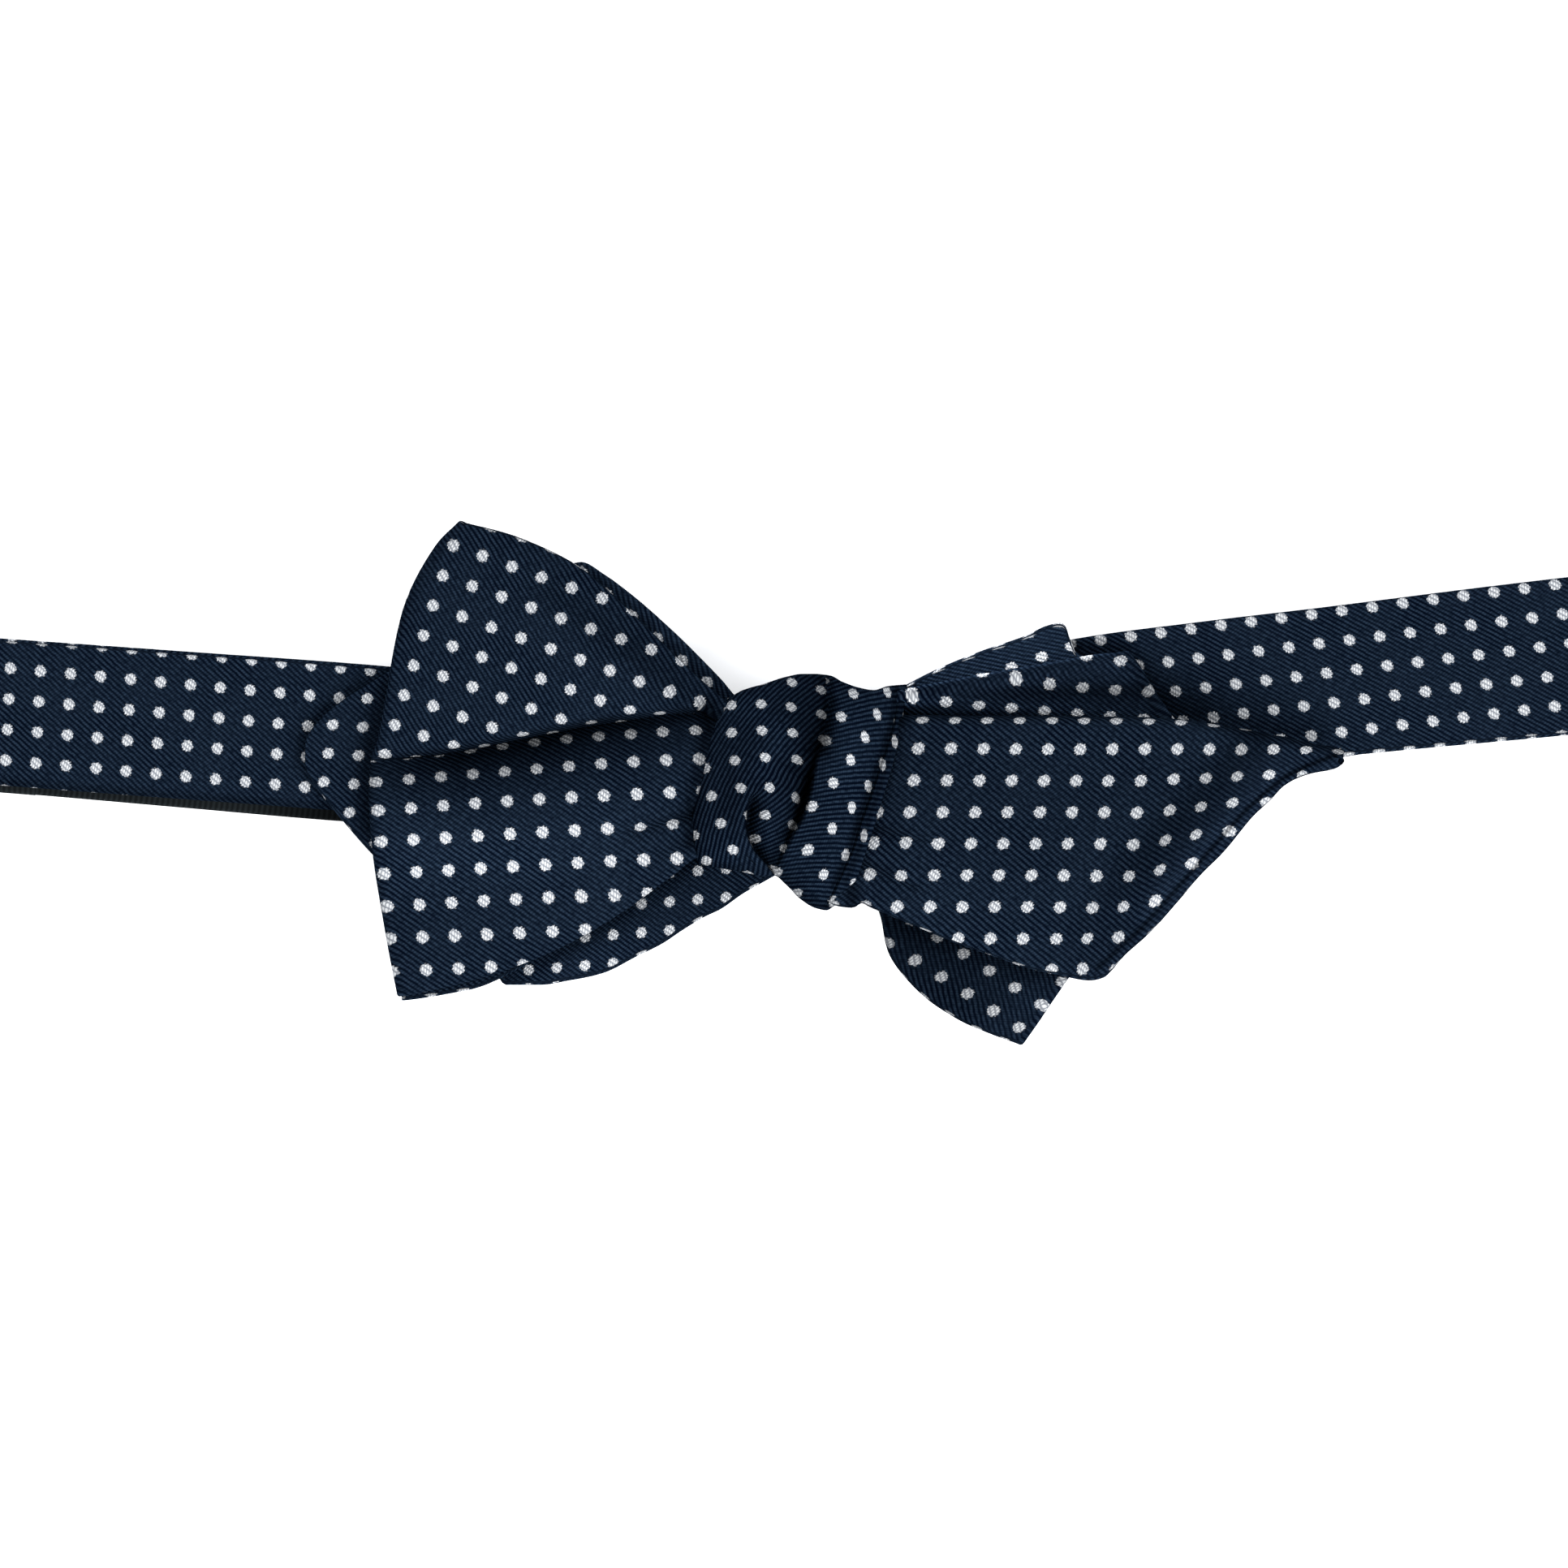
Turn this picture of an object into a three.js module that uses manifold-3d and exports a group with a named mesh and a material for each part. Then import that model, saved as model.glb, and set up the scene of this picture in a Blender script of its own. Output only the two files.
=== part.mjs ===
import * as THREE from "three";
import { mergeVertices } from "three/addons/utils/BufferGeometryUtils.js";
import Module from "manifold-3d";

const wasm = await Module();
wasm.setup();
const { Manifold } = wasm;

// A self-tied bow tie with diamond points, laid front up with its neck loop pressed flat.
// All sizes are millimetres. X runs along the neckband, Y up the wings, Z up from the table.

// Sizes of the bow
const WING_LENGTH = 64;
const WING_HEIGHT = 58;
const KNOT_WIDTH = 24.5;
const KNOT_HEIGHT = 28;
const KNOT_DEPTH = 16.8;
const CLOTH = 1.2;
const FRONT_LOOP_PUFF = 3.4;
const REAR_LOOP_PUFF = 1.6;
const TAIL_SWELL = 1.6;
const WING_DROOP = 4;
const TIP_WIDTH = 1;

// Sizes of the neck loop
const LOOP_LENGTH = 214;
const BAND_WIDTH = 18;
const BAND_THICKNESS = 1.8;
const TAPE_WIDTH = 13;
const TAPE_THICKNESS = 1;
const LOOP_HEIGHT = 10.4;
const TAPE_OVERLAP = 11;

// Sizes of the clasp
const CLASP_LENGTH = 16;
const CLASP_BAR = 2;
const CLASP_THICKNESS = 1.2;
const CLASP_CENTRE = 28;
const TAB_LENGTH = 5;
const CLASP_SHIFT = 0.2;

// Clearances between neighbouring pieces
const CLEARANCE = 0.35;
const LAYER_GAP = 0.45;

// Sizes that follow from those above
const HALF_WING = WING_HEIGHT / 2;
const HALF_LOOP = LOOP_LENGTH / 2;
const CLASP_UNDERSIDE = TAPE_THICKNESS + CLEARANCE;
const CLASP_STACK = 2 * CLASP_UNDERSIDE + CLASP_THICKNESS;
const BAND_SEAT = CLASP_STACK + LAYER_GAP + BAND_THICKNESS / 2;
const BAND_CREST = LOOP_HEIGHT - BAND_THICKNESS / 2;
const LAYER_STEP = CLOTH + LAYER_GAP;
const FOLD_RADIUS = LAYER_STEP / 2;
const KNOT_BASE = TAPE_THICKNESS + CLEARANCE;
const TURN_STEPS = 8;
const ROOT_END = 0.06 * KNOT_WIDTH;

function mix(from, to, share) {
  return from + (to - from) * share;
}

function smooth(share) {
  const s = Math.min(1, Math.max(0, share));
  return s * s * (3 - 2 * s);
}

// Value at x of a smooth curve through the rows of a table, rows in order of x
function valueAt(rows, column, x) {
  const last = rows.length - 1;
  let i = 0;
  while (i < last - 1 && x > rows[i + 1].x) {
    i += 1;
  }
  const slope = (k) => {
    const a = rows[Math.max(0, k - 1)];
    const b = rows[Math.min(last, k + 1)];
    return (b[column] - a[column]) / (b.x - a.x);
  };
  const step = rows[i + 1].x - rows[i].x;
  const s = Math.min(1, Math.max(0, (x - rows[i].x) / step));
  const s2 = s * s;
  const s3 = s2 * s;
  return (
    (2 * s3 - 3 * s2 + 1) * rows[i][column] +
    (s3 - 2 * s2 + s) * step * slope(i) +
    (3 * s2 - 2 * s3) * rows[i + 1][column] +
    (s3 - s2) * step * slope(i + 1)
  );
}

// Height of the middle of the upper neckband over the table
function bandHeight(x) {
  const risesFrom = 0.42 * HALF_LOOP;
  const levelFrom = 0.95 * HALF_LOOP;
  const share = smooth((Math.abs(x) - risesFrom) / (levelFrom - risesFrom));
  return mix(BAND_SEAT, BAND_CREST, share);
}

// Height of the middle of the n-th blade layer over the neckband
function layerHeight(x, n) {
  return bandHeight(x) + BAND_THICKNESS / 2 + LAYER_GAP + CLOTH / 2 + n * LAYER_STEP;
}

// Wings sink a little towards the table beyond the neckband
function droop(y) {
  const share = Math.max(0, Math.abs(y) / HALF_WING - 0.6);
  return WING_DROOP * share * share;
}

// Closed solid from a grid of points, rows of equal length, wrapped round when ring is true
function solidFromSkins(upper, lower, ring) {
  const rows = upper.length;
  const count = upper[0].length;
  const positions = [];
  for (const skin of [upper, lower]) {
    for (const row of skin) {
      for (const p of row) {
        positions.push(p.x, p.y, p.z);
      }
    }
  }
  const at = (skin, i, k) => skin * rows * count + i * count + (k % count);
  const faces = [];
  const quad = (a, b, c, d) => faces.push(a, b, c, a, c, d);
  const steps = ring ? count : count - 1;
  for (let k = 0; k < steps; k += 1) {
    for (let i = 0; i < rows - 1; i += 1) {
      quad(at(0, i, k), at(0, i, k + 1), at(0, i + 1, k + 1), at(0, i + 1, k));
      quad(at(1, i, k), at(1, i + 1, k), at(1, i + 1, k + 1), at(1, i, k + 1));
    }
    quad(at(1, 0, k), at(1, 0, k + 1), at(0, 0, k + 1), at(0, 0, k));
    quad(at(0, rows - 1, k), at(0, rows - 1, k + 1), at(1, rows - 1, k + 1), at(1, rows - 1, k));
  }
  if (!ring) {
    const end = count - 1;
    for (let i = 0; i < rows - 1; i += 1) {
      quad(at(0, i, 0), at(0, i + 1, 0), at(1, i + 1, 0), at(1, i, 0));
      quad(at(0, i, end), at(1, i, end), at(1, i + 1, end), at(0, i + 1, end));
    }
  }
  if (signedVolume(positions, faces) < 0) {
    faces.reverse();
  }
  const geometry = new THREE.BufferGeometry();
  geometry.setAttribute("position", new THREE.Float32BufferAttribute(positions, 3));
  geometry.setIndex(faces);
  geometry.computeVertexNormals();
  return geometry;
}

// Solid of a closed mesh, for joining and cutting
function solidOf(geometry) {
  const vertProperties = geometry.getAttribute("position").array;
  const triVerts = new Uint32Array(geometry.getIndex().array);
  return new Manifold(new wasm.Mesh({ numProp: 3, vertProperties, triVerts }));
}

// A blade with the room that the knot takes cut away; only its largest body stays
function clearOfKnot(geometry, room) {
  const bodies = solidOf(geometry).subtract(room).decompose();
  bodies.sort((a, b) => b.volume() - a.volume());
  return geometryOf(bodies[0]);
}

// Mesh of a joined or cut solid
function geometryOf(solid) {
  const mesh = solid.getMesh();
  const geometry = new THREE.BufferGeometry();
  geometry.setAttribute("position", new THREE.Float32BufferAttribute(mesh.vertProperties, 3));
  geometry.setIndex(Array.from(mesh.triVerts));
  geometry.computeVertexNormals();
  return geometry;
}

function signedVolume(positions, faces) {
  const corner = (n) => new THREE.Vector3().fromArray(positions, 3 * faces[n]);
  let sum = 0;
  for (let n = 0; n < faces.length; n += 3) {
    sum += corner(n).dot(corner(n + 1).cross(corner(n + 2)));
  }
  return sum / 6;
}

// Cloth of even thickness about a surface that passes through guide lines of equal point count
function clothThrough(lines, rows, ring = false, thickness = CLOTH) {
  const rim = 0.02;
  const shares = [0];
  for (let i = 0; i <= rows; i += 1) {
    shares.push(mix(rim, 1 - rim, i / rows));
  }
  shares.push(1);
  const count = lines[0].length;
  const middle = shares.map(() => []);
  for (let k = 0; k < count; k += 1) {
    const across = new THREE.CatmullRomCurve3(lines.map((line) => line[k]), false, "centripetal");
    shares.forEach((share, i) => middle[i].push(across.getPoint(share)));
  }
  const last = shares.length - 1;
  const upper = [];
  const lower = [];
  middle.forEach((row, i) => {
    const half = (thickness - (i === 0 || i === last ? CLOTH / 2 : 0)) / 2;
    upper.push([]);
    lower.push([]);
    row.forEach((point, k) => {
      const before = ring ? (k + count - 1) % count : Math.max(0, k - 1);
      const after = ring ? (k + 1) % count : Math.min(count - 1, k + 1);
      const along = row[after].clone().sub(row[before]);
      const across = middle[Math.min(last, i + 1)][k].clone().sub(middle[Math.max(0, i - 1)][k]);
      const normal = along.cross(across).normalize().multiplyScalar(half);
      upper[i].push(point.clone().add(normal));
      lower[i].push(point.clone().sub(normal));
    });
  });
  return solidFromSkins(upper, lower, ring);
}

// Strap of rectangular section through stations of x, z, width, thickness and plan line
function strapAlong(stations) {
  const points = stations.map((s) => new THREE.Vector3(s.x, valueAt(s.plan, "y", s.x), s.z));
  const upper = [[], [], [], []];
  const lower = [[], [], [], []];
  stations.forEach((s, k) => {
    const before = points[Math.max(0, k - 1)];
    const after = points[Math.min(points.length - 1, k + 1)];
    const slope = (valueAt(s.plan, "y", s.x + 1) - valueAt(s.plan, "y", s.x - 1)) / 2;
    const across = new THREE.Vector3(-slope, 1, 0).normalize();
    const normal = after.clone().sub(before).cross(across).normalize();
    const bevel = 0.3 * s.thickness;
    const places = [-s.width / 2, bevel - s.width / 2, s.width / 2 - bevel, s.width / 2];
    places.forEach((offset, i) => {
      const half = s.thickness / 2 - (i === 0 || i === 3 ? bevel : 0);
      const centre = points[k].clone().addScaledVector(across, offset);
      upper[i].push(centre.clone().addScaledVector(normal, half));
      lower[i].push(centre.clone().addScaledVector(normal, -half));
    });
  });
  return solidFromSkins(upper, lower, false);
}

// Half turn of a strap in a vertical plane, bulging towards side (1 or -1)
function halfTurn(x, from, to, side, like) {
  const radius = Math.abs(to - from) / 2;
  const stations = [];
  for (let n = 1; n < TURN_STEPS; n += 1) {
    const angle = (Math.PI * n) / TURN_STEPS;
    const turned = x + side * radius * Math.sin(angle);
    stations.push({ ...like, x: turned, z: mix(from, to, (1 - Math.cos(angle)) / 2) });
  }
  return stations;
}

// Plan lines of the straps: x as a share of half the loop, y and width as shares of the band width
const LEFT_BAND = [
  { at: -0.98, centre: 0.53, width: 0.99 },
  { at: -0.9, centre: 0.494, width: 0.99 },
  { at: -0.7, centre: 0.406, width: 0.99 },
  { at: -0.5, centre: 0.319, width: 1.0 },
  { at: -0.3, centre: 0.21, width: 0.95 },
  { at: -0.15, centre: 0.1, width: 0.86 },
  { at: -0.09, centre: 0.04, width: 0.8 },
  { at: -0.015, centre: 0.02, width: 0.78 },
];
const RIGHT_BAND = [
  { at: 0.015, centre: 0.02, width: 0.78 },
  { at: 0.09, centre: 0.06, width: 0.8 },
  { at: 0.16, centre: 0.13, width: 0.82 },
  { at: 0.33, centre: 0.483, width: 0.98 },
  { at: 0.64, centre: 0.7, width: 1.02 },
  { at: 0.9, centre: 0.872, width: 1.06 },
  { at: 1.0, centre: 0.935, width: 1.06 },
];
const TAPE = [
  { at: -1.0, centre: 0.345, width: 1 },
  { at: -0.9, centre: 0.305, width: 1 },
  { at: -0.51, centre: 0.104, width: 1 },
  { at: -0.19, centre: 0.02, width: 1 },
  { at: 0.02, centre: 0.12, width: 1 },
  { at: 0.13, centre: CLASP_SHIFT, width: 1 },
  { at: 0.18, centre: CLASP_SHIFT, width: 1 },
  { at: 0.3, centre: CLASP_SHIFT, width: 1 },
];
const BACK_RUN = [
  { at: 0.2, centre: CLASP_SHIFT, width: 0.72 },
  { at: 0.3, centre: CLASP_SHIFT, width: 0.72 },
  { at: 0.38, centre: CLASP_SHIFT, width: 0.72 },
  { at: 0.42, centre: CLASP_SHIFT, width: 0.76 },
  { at: 0.56, centre: 0.58, width: 0.94 },
  { at: 0.7, centre: 0.745, width: 1.0 },
  { at: 0.9, centre: 0.872, width: 1.04 },
  { at: 1.0, centre: 0.935, width: 1.06 },
];

function planRows(table) {
  return table.map((row) => ({
    x: row.at * HALF_LOOP,
    y: row.centre * BAND_WIDTH,
    width: row.width * BAND_WIDTH,
  }));
}

// Stations of a run from one x to another; height and thickness are functions of x
function runStations(from, to, steps, plan, height, thickness) {
  const stations = [];
  for (let n = 0; n <= steps; n += 1) {
    const x = mix(from, to, n / steps);
    const width = valueAt(plan, "width", x);
    stations.push({ x, z: height(x), width, thickness: thickness(x), plan });
  }
  return stations;
}

// Left half of the silk neckband, which ends over the tape sewn under it
function neckbandLeft() {
  const end = -HALF_LOOP + 0.4 * LOOP_HEIGHT;
  const thickness = () => BAND_THICKNESS;
  return strapAlong(runStations(-ROOT_END, end, 26, planRows(LEFT_BAND), bandHeight, thickness));
}

// Plain tape: under the band's end, round the left bend, under the bow and round the clasp
function adjusterTape() {
  const plan = planRows(TAPE);
  const underBand = BAND_THICKNESS / 2 + CLEARANCE + TAPE_THICKNESS / 2;
  const top = (x) => bandHeight(x) - underBand;
  const floor = TAPE_THICKNESS / 2;
  const turnX = -HALF_LOOP + (BAND_CREST - underBand + floor) / 2;
  const barX = CLASP_CENTRE - CLASP_LENGTH / 2 + CLASP_BAR;
  const over = floor + CLASP_STACK - TAPE_THICKNESS;
  const thickness = () => TAPE_THICKNESS;
  const like = { width: TAPE_WIDTH, thickness: TAPE_THICKNESS, plan };
  const stations = [
    ...runStations(turnX + TAPE_OVERLAP, turnX, 4, plan, top, thickness),
    ...halfTurn(turnX, top(turnX), floor, -1, like),
    ...runStations(turnX, barX, 20, plan, () => floor, thickness),
    ...halfTurn(barX, floor, over, 1, like),
    ...runStations(barX, barX - TAB_LENGTH, 1, plan, () => over, thickness),
  ];
  return strapAlong(stations.map((station) => ({ ...station, width: TAPE_WIDTH })));
}

// Right half of the neckband: out from the knot, round the right bend, back under itself
function neckbandRight() {
  const plan = planRows(RIGHT_BAND);
  const backPlan = planRows(BACK_RUN);
  const floor = BAND_THICKNESS / 2;
  const turnX = HALF_LOOP - (BAND_CREST - floor) / 2 - BAND_THICKNESS / 2;
  const barX = CLASP_CENTRE + CLASP_LENGTH / 2 - CLASP_BAR;
  const tabFloor = TAPE_THICKNESS / 2;
  const over = tabFloor + CLASP_STACK - TAPE_THICKNESS;
  const taper = (x) => smooth((CLASP_CENTRE + 1.2 * CLASP_LENGTH - x) / (0.6 * CLASP_LENGTH));
  const fullThickness = () => BAND_THICKNESS;
  const thinning = (x) => mix(BAND_THICKNESS, TAPE_THICKNESS, taper(x));
  const bandLike = { width: valueAt(plan, "width", turnX), thickness: BAND_THICKNESS, plan };
  const tabLike = { width: TAPE_WIDTH, thickness: TAPE_THICKNESS, plan: backPlan };
  const tabEnd = runStations(barX, barX + TAB_LENGTH, 1, backPlan, () => over, () => TAPE_THICKNESS);
  const back = runStations(turnX, barX, 22, backPlan, (x) => thinning(x) / 2, thinning);
  const stations = [
    ...runStations(ROOT_END, turnX, 26, plan, bandHeight, fullThickness),
    ...halfTurn(turnX, BAND_CREST, floor, 1, bandLike),
    ...back.map((station) => ({ ...station, width: mix(station.width, TAPE_WIDTH, taper(station.x)) })),
    ...halfTurn(barX, tabFloor, over, -1, tabLike),
    ...tabEnd.map((station) => ({ ...station, width: TAPE_WIDTH })),
  ];
  return strapAlong(stations);
}

function boxSolid(length, width, height, x) {
  const box = new THREE.BoxGeometry(length, width, height).translate(x, 0, 0);
  box.deleteAttribute("normal");
  box.deleteAttribute("uv");
  return solidOf(mergeVertices(box));
}

// Metal clasp: a flat plate with two windows, one for the tape and one for the band's end
function clasp() {
  const width = TAPE_WIDTH + 2 * (CLASP_BAR + 2 * CLEARANCE);
  const windowLength = (CLASP_LENGTH - 3 * CLASP_BAR) / 2;
  const windowWidth = width - 2 * CLASP_BAR;
  const shift = (windowLength + CLASP_BAR) / 2;
  const y = valueAt(planRows(TAPE), "y", CLASP_CENTRE);
  const plate = boxSolid(CLASP_LENGTH, width, CLASP_THICKNESS, 0)
    .subtract(boxSolid(windowLength, windowWidth, 2 * CLASP_THICKNESS, shift))
    .subtract(boxSolid(windowLength, windowWidth, 2 * CLASP_THICKNESS, -shift))
    .translate([CLASP_CENTRE, y, CLASP_UNDERSIDE + CLASP_THICKNESS / 2]);
  return geometryOf(plate);
}

// Outward bulge of a guide line, 0 at both ends and 1 at the peak
function bulge(share, peak, pointed) {
  const side = share < peak ? share / peak : (1 - share) / (1 - peak);
  return pointed ? side : Math.sin((side * Math.PI) / 2);
}

// Plan position on a guide line between two ends, pushed sideways by bend
function planPoint(from, to, share, offset) {
  const direction = to.clone().sub(from);
  const sideways = new THREE.Vector2(-direction.y, direction.x).normalize();
  if (sideways.y < 0) {
    sideways.negate();
  }
  return from.clone().lerp(to, share).addScaledVector(sideways, offset);
}

// One loop of the bow: each table row is a line of the cloth from the knot to the folded edge
// and back behind. Columns: root as a share of the knot's height, fold and bends as shares of
// the wing, and lift as a share of the loop's puff.
function loopCloth(loop) {
  const steps = 12;
  const turn = 6;
  const lines = loop.rows.map((row) => {
    const root = new THREE.Vector2(loop.rootX, row.root * KNOT_HEIGHT);
    const fold = new THREE.Vector2(row.foldX * WING_LENGTH, row.foldY * HALF_WING);
    const out = fold.clone().sub(root).normalize();
    const inset = fold.clone().addScaledVector(out, -FOLD_RADIUS - CLOTH / 2);
    const foldZ = layerHeight(fold.x, loop.layer) + FOLD_RADIUS - droop(fold.y);
    const points = [];
    for (let n = 0; n <= steps; n += 1) {
      const s = n / steps;
      const p = planPoint(root, inset, s, row.bend * HALF_WING * bulge(s, 0.55, false));
      const rest = layerHeight(p.x, loop.layer + 1) - droop(p.y);
      const edge = smooth((s - 0.6) / 0.4);
      const puff = loop.puff * row.lift * Math.sin(Math.PI * Math.min(1, s * 1.02));
      points.push(new THREE.Vector3(p.x, p.y, mix(rest, foldZ + FOLD_RADIUS, edge) + puff));
    }
    for (let n = 1; n < turn; n += 1) {
      const angle = (Math.PI * n) / turn;
      const reach = FOLD_RADIUS * Math.sin(angle);
      const p = inset.clone().addScaledVector(out, reach);
      points.push(new THREE.Vector3(p.x, p.y, foldZ + FOLD_RADIUS * Math.cos(angle)));
    }
    for (let n = steps; n >= 0; n -= 1) {
      const s = n / steps;
      const offset = row.backBend * HALF_WING * bulge(s, loop.backPeak, loop.backPointed);
      const p = planPoint(root, inset, s, offset);
      points.push(new THREE.Vector3(p.x, p.y, layerHeight(p.x, loop.layer) - droop(p.y)));
    }
    return points;
  });
  return clothThrough(lines, 10);
}

const FRONT_LOOP = {
  rootX: -ROOT_END,
  layer: 1,
  puff: FRONT_LOOP_PUFF,
  backPeak: 0.55,
  backPointed: false,
  rows: [
    { root: 0.3, foldX: -0.628, foldY: 1.1, bend: 0.12, backBend: 0.09, lift: 0.25 },
    { root: 0.27, foldX: -0.69, foldY: 0.86, bend: 0.07, backBend: 0.07, lift: 0.85 },
    { root: 0.24, foldX: -0.75, foldY: 0.53, bend: 0.03, backBend: 0.03, lift: 0.75 },
    { root: 0.2, foldX: -0.803, foldY: 0.11, bend: 0, backBend: 0, lift: 0.1 },
    { root: 0.1, foldX: -0.797, foldY: -0.13, bend: -0.02, backBend: -0.02, lift: 0.8 },
    { root: -0.1, foldX: -0.782, foldY: -0.5, bend: -0.06, backBend: -0.04, lift: 1 },
    { root: -0.3, foldX: -0.741, foldY: -0.9, bend: -0.11, backBend: -0.1, lift: 0.3 },
  ],
};

const REAR_LOOP = {
  rootX: ROOT_END,
  layer: 0,
  puff: REAR_LOOP_PUFF,
  backPeak: 0.75,
  backPointed: true,
  rows: [
    { root: 0.3, foldX: 0.655, foldY: 0.54, bend: 0.06, backBend: 0.17, lift: 0 },
    { root: 0.24, foldX: 0.71, foldY: 0.36, bend: 0.03, backBend: 0.1, lift: 0.6 },
    { root: 0.17, foldX: 0.764, foldY: 0.17, bend: 0, backBend: 0, lift: 1 },
    { root: 0.02, foldX: 0.68, foldY: -0.22, bend: -0.05, backBend: -0.05, lift: 1 },
    { root: -0.14, foldX: 0.565, foldY: -0.68, bend: -0.12, backBend: -0.12, lift: 0.8 },
    { root: -0.3, foldX: 0.455, foldY: -1.1, bend: -0.19, backBend: -0.17, lift: 0.3 },
  ],
};

// Rear tail: a flat diamond point behind the front loop. x is a share of the wing's length,
// top and bottom are shares of half the wing's height.
const REAR_TAIL = [
  { x: -0.023, top: 0.27, bottom: -0.25 },
  { x: -0.11, top: 0.28, bottom: -0.27 },
  { x: -0.16, top: 0.45, bottom: -0.5 },
  { x: -0.23, top: 0.67, bottom: -0.63 },
  { x: -0.34, top: 0.87, bottom: -0.77 },
  { x: -0.39, top: 0.924, bottom: -0.81 },
  { x: -0.44, top: 0.83, bottom: -0.83 },
  { x: -0.52, top: 0.67, bottom: -0.845 },
  { x: -0.56, top: 0.59, bottom: -0.78 },
  { x: -0.65, top: 0.5, bottom: -0.59 },
  { x: -0.79, top: 0.4, bottom: -0.3 },
  { x: -0.85, top: 0.34, bottom: -0.18 },
  { x: -0.9, top: 0.25, bottom: 0 },
  { x: -0.925, top: 0.17, bottom: 0.08 },
];

function rearTail() {
  const rows = REAR_TAIL.map((row) => ({ ...row, x: row.x * WING_LENGTH })).reverse();
  const steps = 28;
  const lines = [0, 0.25, 0.5, 0.75, 1].map((share) => {
    const points = [];
    for (let n = 0; n <= steps; n += 1) {
      const x = mix(rows[0].x, rows[rows.length - 1].x, n / steps);
      const y = mix(valueAt(rows, "top", x), valueAt(rows, "bottom", x), share) * HALF_WING;
      points.push(new THREE.Vector3(x, y, layerHeight(x, 0) - droop(y)));
    }
    return points;
  });
  return clothThrough(lines, 6);
}

// Front tail: the lower half of a diamond point; its upper half turns back under a round ridge.
// Columns as in the rear tail, with the ridge on top and lift for the swell of the front.
const FRONT_TAIL = [
  { x: 0.023, ridge: 0.28, bottom: -0.28, lift: 0 },
  { x: 0.15, ridge: 0.29, bottom: -0.32, lift: 0.1 },
  { x: 0.19, ridge: 0.29, bottom: -0.56, lift: 0.4 },
  { x: 0.25, ridge: 0.285, bottom: -0.63, lift: 0.7 },
  { x: 0.4, ridge: 0.28, bottom: -0.7, lift: 1 },
  { x: 0.52, ridge: 0.28, bottom: -0.79, lift: 1 },
  { x: 0.585, ridge: 0.278, bottom: -0.825, lift: 0.95 },
  { x: 0.63, ridge: 0.275, bottom: -0.76, lift: 0.9 },
  { x: 0.7, ridge: 0.27, bottom: -0.62, lift: 0.8 },
  { x: 0.84, ridge: 0.25, bottom: -0.27, lift: 0.6 },
  { x: 0.94, ridge: 0.215, bottom: -0.03, lift: 0.4 },
  { x: 1.0, ridge: 0.18, bottom: 0.05, lift: 0.2 },
  { x: 1.075, ridge: 0.14, bottom: 0.1, lift: 0 },
];

function frontTail() {
  const rows = FRONT_TAIL.map((row) => ({ ...row, x: row.x * WING_LENGTH }));
  const steps = 24;
  const underReach = 0.75;
  const rearReach = 0.76 * WING_LENGTH;
  const profile = [];
  for (let n = 0; n <= 6; n += 1) {
    profile.push({ front: 1, share: 1 - n / 6 });
  }
  for (let n = 1; n < 4; n += 1) {
    profile.push({ turn: (Math.PI * n) / 4 });
  }
  for (let n = 0; n <= 3; n += 1) {
    profile.push({ front: 0, share: (underReach * n) / 3 });
  }
  const lines = profile.map((place) => {
    const points = [];
    for (let n = 0; n <= steps; n += 1) {
      const x = mix(rows[0].x, rows[rows.length - 1].x, n / steps);
      const ridge = valueAt(rows, "ridge", x) * HALF_WING - FOLD_RADIUS - CLOTH / 2;
      const bottom = Math.min(valueAt(rows, "bottom", x) * HALF_WING, ridge - TIP_WIDTH);
      const lift = TAIL_SWELL * valueAt(rows, "lift", x);
      const rear = REAR_LOOP_PUFF * Math.sin(Math.PI * Math.min(1, x / rearReach));
      const under = layerHeight(x, 2) + rear;
      if (place.turn) {
        const y = ridge + FOLD_RADIUS * Math.sin(place.turn);
        const z = under + FOLD_RADIUS * (1 + Math.cos(place.turn));
        points.push(new THREE.Vector3(x, y, z - droop(y)));
      } else {
        const y = mix(ridge, bottom, place.share);
        const crown = place.front * lift * Math.sin(Math.PI * place.share);
        points.push(new THREE.Vector3(x, y, under + place.front * 2 * FOLD_RADIUS + crown - droop(y)));
      }
    }
    return points;
  });
  return clothThrough(lines, 14);
}

// Knot: the cloth wrapped round the roots. Each row is a ring round the bow, from the left rim
// to the right one; x columns are shares of the knot's width at its top, middle and bottom,
// top and bottom are shares of its height and front is a share of its depth.
const KNOT_RINGS = [
  { xTop: -0.3, xMid: -0.42, xBottom: -0.43, top: 0.4, bottom: -0.375, front: 0.68 },
  { xTop: -0.26, xMid: -0.36, xBottom: -0.38, top: 0.43, bottom: -0.385, front: 0.85 },
  { xTop: -0.14, xMid: -0.2, xBottom: -0.25, top: 0.46, bottom: -0.4, front: 0.99 },
  { xTop: 0.03, xMid: -0.02, xBottom: -0.1, top: 0.47, bottom: -0.42, front: 0.967 },
  { xTop: 0.16, xMid: 0.09, xBottom: 0, top: 0.45, bottom: -0.46, front: 0.812 },
  { xTop: 0.26, xMid: 0.19, xBottom: 0.08, top: 0.44, bottom: -0.51, front: 0.943 },
  { xTop: 0.4, xMid: 0.33, xBottom: 0.2, top: 0.42, bottom: -0.54, front: 0.967 },
  { xTop: 0.54, xMid: 0.43, xBottom: 0.29, top: 0.42, bottom: -0.5, front: 0.812 },
];

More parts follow.
